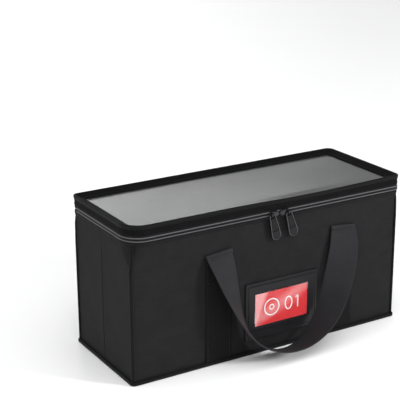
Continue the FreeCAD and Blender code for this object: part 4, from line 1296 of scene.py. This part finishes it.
def pull_outline(inset):
    """Outline of a pull seen from the front, drawn in by inset: straight sides that widen down to a round end.

    Goes round anticlockwise from the top left, with small rounded corners at the top."""
    half_top, low, end = 4.5 - inset, 7.0 - inset, 35.0 - 7.0
    top, soft = 0.7 - inset, 1.2
    bottom = np.linspace(math.pi, 2 * math.pi, 24)
    closed = np.array([
        (-half_top + soft, top), (-half_top, top - soft),
        *zip(low * np.cos(bottom), -end + low * np.sin(bottom)),
        (half_top, top - soft), (half_top - soft, top), (-half_top + soft, top),
    ])
    run = lengths_along(closed[None])[0]
    at = np.linspace(0, run[-1], 72, endpoint=False)
    return np.column_stack([np.interp(at, run, closed[:, 0]), np.interp(at, run, closed[:, 1])])


def pull_plate():
    """The plate inside a pull's rim as rings across it, from its upper edge down to the round end.

    Its face is a height map: a sunk field, a tongue that widens down to a straight edge with a slot along it,
    and a raised round end below."""
    down = 5.8 + 28.36 * np.sin(np.linspace(0, math.pi / 2, 90))[:, None]
    wide = 3.7 + down / 28.0 * 2.5
    wide = np.where(down > 28.0, np.sqrt(np.maximum(0.0, 6.2 ** 2 - (down - 28.0) ** 2)), wide)
    x, y = np.broadcast_arrays(wide * np.linspace(-1, 1, 44), down)

    def step(value, width=0.5):
        return smooth(value / width + 0.5)

    tongue = step(1.5 + (y - 9.0) / 6.0 - np.abs(x)) * step(y - 9.0) * step(21.2 - y)
    slot = step(0.75 - np.abs(x)) * step(y - 12.5) * step(19.5 - y)
    rise = -0.25 + 0.62 * tongue - 0.55 * slot * tongue + 0.6 * step(y - 22.6, 0.8)
    return np.concatenate([grid(x, -y, rise), grid(x[:, ::-1], -y, -0.55)], 1)[::-1]


def middle_of(node):
    """The middle of a packed solid along the box, in millimetres."""
    low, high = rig.box(node)
    return (low[0] + high[0]) * 500.0


class Sliders(bpy.types.Operator):
    """The two sliders with their bridges, and the pulls that hang on them."""

    bl_idname = "disc_box.sliders"
    bl_label = "Sliders and pulls"

    def slider(self, x, nose):
        """A slider's rounded plate, narrower towards its nose, and the lip that holds it on the teeth below."""
        s = sizes()
        way = np.stack([np.cos(full_turn(48)), np.sin(full_turn(48))])
        plate_x, plate_z = np.sign(way) * np.abs(way) ** 0.62
        taper = 1 - 0.22 * (nose * plate_x * 0.5 + 0.5)
        scale = np.array([0.86, 0.97, 1.0, 1.0, 0.95, 0.82, 0.55])[:, None]
        rise = np.array([0.0, 0.15, 0.5, 1.0, 1.45, 1.75, 1.95])[:, None]
        plate = grid(
            x + plate_x * 7.0 * scale, -(s.depth / 2 + 3.0 + rise), s.zip_height + plate_z * 4.4 * scale * taper
        )
        out, up = round_profile((0, 0), (1, 1), 16, 3.0).T
        along = np.linspace(-5, 5, 8)[:, None]
        squeeze = 1 - 0.15 * (np.abs(along) / 5) ** 4
        lip = grid(x + along, -(s.depth / 2 + 2.1 + out * 1.2), s.zip_height - 3.9 + (up - 0.5) * 1.4 * squeeze)
        return joined([
            surface(closed_rings(plate), (False, True)), surface(closed_rings(lip), (False, True), flip=True),
        ])

    def bridge(self, x):
        """A rod of 2.4 by 1 mm, bent into the arch that the pull hangs on."""
        s = sizes()
        turn = np.linspace(0, math.pi, 25)
        out = s.depth / 2 + 4.6 + np.abs(np.sin(turn)) ** 0.55 * 3.1
        up = np.sign(np.cos(turn)) * np.abs(np.cos(turn)) ** 0.7 * 2.15
        path = grid(x, -out, s.zip_height + up)
        rise = np.cross([1.0, 0, 0], unit(np.gradient(path, axis=0)))[:, None]
        thick, wide = round_profile((-0.5, -1.2), (0.5, 1.2), 14).T
        return path[:, None] + rise * thick[:, None] + np.array([1.0, 0, 0]) * wide[:, None]

    def pull(self):
        """A pull that hangs straight down: its rim, and the plate inside it. Its z is off the wall."""
        line = pull_outline(0.75)
        out = unit(np.gradient(np.concatenate([line[-1:], line, line[:1]]), axis=0)[1:-1])
        side = np.stack([out[:, 1], -out[:, 0]], -1)
        ring = round_profile((-0.75, -0.7), (0.75, 0.7), 12, 2.2)
        rim = np.array([grid(*(line + side * wide).T, rise) for wide, rise in ring])
        return surface(rim, (True, True)), surface(closed_rings(pull_plate()), (False, True))

    def execute(self, context):
        s = sizes()
        for word, lean, nose in (("left", 14.0, 1), ("right", 17.0, -1)):
            body = word + "_zip_slider"
            name = word + "_slider_body"
            mesh = make_mesh(name, *self.slider(middle_of(word + "_slider"), nose))
            place_piece(name, mesh, lacquer(), body, "slider_metal", [word + "_slider"])
            hang = middle_of(word + "_slider_bridge")
            sheet_piece(
                word + "_bridge_arch", closed_rings(self.bridge(hang)), lacquer(), body, "slider_metal",
                [word + "_slider_bridge"], wrap=(False, True),
            )
            rim, plate = self.pull()
            turned = np.array(Matrix.Rotation(math.radians(-lean), 3, "Y"))
            for name, (flat, quads, uv), material, nodes in (
                (word + "_pull_rim", rim, black_nickel(), []),
                (word + "_pull_plate", plate, pull_paint(), [word + "_pull"]),
            ):
                points = np.column_stack([flat[:, 0], -flat[:, 2], flat[:, 1]]) @ turned.T
                points += np.array([hang, -(s.depth / 2 + 6.1), s.zip_height])
                mesh = make_mesh(name, points, quads, uv)
                place_piece(name, mesh, material, word + "_zip_pull", "pull_plastic", nodes)
        return {"FINISHED"}


class Boards(bpy.types.Operator):
    """Finish of the boards that are sewn into the walls and the bottom."""

    bl_idname = "disc_box.boards"
    bl_label = "Boards"

    def execute(self, context):
        for name, thing in frame["nodes"].items():
            if name.endswith("_board") and name != "insert_board":
                thing.data.materials.clear()
                thing.data.materials.append(packing_board())
        return {"FINISHED"}


class Studio(bpy.types.Operator):
    """Pale floor, soft light and the camera."""

    bl_idname = "disc_box.studio"
    bl_label = "Studio"

    def floor(self, scene):
        mesh = bpy.data.meshes.new("studio_floor")
        reach, level = 14, -0.0003
        corners = [(x * reach, y * reach, level) for x, y in ((-1, -1), (1, -1), (1, 1), (-1, 1))]
        mesh.from_pydata(corners, [], [(0, 1, 2, 3)])
        mesh.materials.append(studio_paper())
        floor = bpy.data.objects.new("studio_floor", mesh)
        scene.collection.objects.link(floor)
        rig.stage(floor)

    def room(self, scene):
        """The room is brighter behind the box than in front of it, pale near the horizon, and plain white to
        the eye."""
        scene.world = bpy.data.worlds.new("studio_world")
        scene.world.use_nodes = True
        tree = scene.world.node_tree
        tree.nodes.clear()
        way = add(tree, "ShaderNodeTexCoord").outputs["Generated"]
        split = add(tree, "ShaderNodeSeparateXYZ", {0: way}).outputs
        glow = ramp(tree, split[1], 0.75, 0.87, 0.26, 1.2)
        pale = ramp(tree, calc(tree, "ABSOLUTE", split[2]), 0.06, 0.2, 0.95, 0.0)
        seen = add(tree, "ShaderNodeLightPath").outputs["Is Camera Ray"]
        strength = calc(tree, "MAXIMUM", calc(tree, "MAXIMUM", glow, pale), seen)
        sky = add(tree, "ShaderNodeBackground", {"Color": (1, 1, 1, 1), "Strength": strength})
        add(tree, "ShaderNodeOutputWorld", {"Surface": sky.outputs[0]})

    def lamps(self, scene):
        """Lamps in metres and watts. The film would mirror the large ones, so only the narrow one gives
        highlights."""
        sun = bpy.data.lights.new("ceiling", "SUN")
        sun.energy = 2.55
        sun.angle = math.radians(70)
        above = bpy.data.objects.new("ceiling", sun)
        above.rotation_euler = (math.radians(12), math.radians(-10), 0)
        above.visible_glossy = above.visible_transmission = False
        scene.collection.objects.link(above)
        for name, at, aim, size, power in (
            ("key", (1.9, -2.1, 1.2), (0, 0, 0.1), (0.5, 0.5), 76),
            ("left_strip", (-2.0, -0.5, 1.1), (0, 0, 0.18), (0.08, 1.0), 3),
            ("fill", (-1.2, -2.3, 1.8), (0, 0, 0.1), (1.5, 1.5), 10),
        ):
            lamp = bpy.data.lights.new(name, "AREA")
            lamp.energy = power
            lamp.shape = "RECTANGLE"
            lamp.size, lamp.size_y = size
            made = bpy.data.objects.new(name, lamp)
            made.location = at
            made.rotation_euler = (Vector(aim) - Vector(at)).to_track_quat("-Z", "Y").to_euler()
            made.visible_camera = False
            made.visible_glossy = made.visible_transmission = name == "left_strip"
            scene.collection.objects.link(made)

    def camera(self, scene):
        camera = bpy.data.cameras.new("camera")
        camera.lens = 104.94
        camera.sensor_width = 36.0
        camera.clip_start = 0.05
        camera.clip_end = 60.0
        seen = bpy.data.objects.new("camera", camera)
        pitch, yaw, roll = math.radians(18.44), math.radians(-30.8), math.radians(-0.37)
        turn = Matrix.Rotation(yaw, 4, "Z") @ Matrix.Rotation(math.pi / 2 - pitch, 4, "X")
        seen.matrix_world = (
            Matrix.Translation((-0.7849, -1.2161, 0.6617)) @ turn @ Matrix.Rotation(roll, 4, "Z")
        )
        scene.collection.objects.link(seen)
        scene.camera = seen

    def execute(self, context):
        for part in (self.floor, self.room, self.lamps, self.camera):
            part(context.scene)
        context.scene.view_settings.view_transform = "Standard"
        return {"FINISHED"}


class DiscBoxPanel(bpy.types.Panel):
    """Sizes, colours and pieces of the box."""

    bl_label = "Disc Box"
    bl_idname = "VIEW3D_PT_disc_box"
    bl_space_type = "VIEW_3D"
    bl_region_type = "UI"
    bl_category = "Disc Box"

    def draw(self, context):
        for group in (context.scene.disc_box_sizes, context.scene.disc_box_colours):
            column = self.layout.column(align=True)
            for name in group.__annotations__:
                column.prop(group, name)
        for operator in OPERATORS:
            self.layout.operator(operator.bl_idname)


OPERATORS = (
    WallCloth, CornerSeams, Bottom, Lining, Zip, Hinge, LidCloth, LidWindow, Straps, Handles, Label, Sliders,
    Boards, Studio,
)
CLASSES = (BoxSizes, BoxColours, *OPERATORS, DiscBoxPanel)


def register():
    for each in CLASSES:
        bpy.utils.register_class(each)
    bpy.types.Scene.disc_box_sizes = PointerProperty(type=BoxSizes)
    bpy.types.Scene.disc_box_colours = PointerProperty(type=BoxColours)


def unregister():
    del bpy.types.Scene.disc_box_colours
    del bpy.types.Scene.disc_box_sizes
    for each in reversed(CLASSES):
        bpy.utils.unregister_class(each)


def main():
    """Makes every piece and the studio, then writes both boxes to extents.json."""
    register()
    for operator in OPERATORS:
        group, name = operator.bl_idname.split(".")
        getattr(getattr(bpy.ops, group), name)()
    with open("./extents.json", "w") as file:
        boxes = {"cad": [list(c) for c in cad_box], "visual": [list(c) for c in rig.bounds()]}
        json.dump(boxes, file, indent=1)


if __name__ == "__main__":
    main()
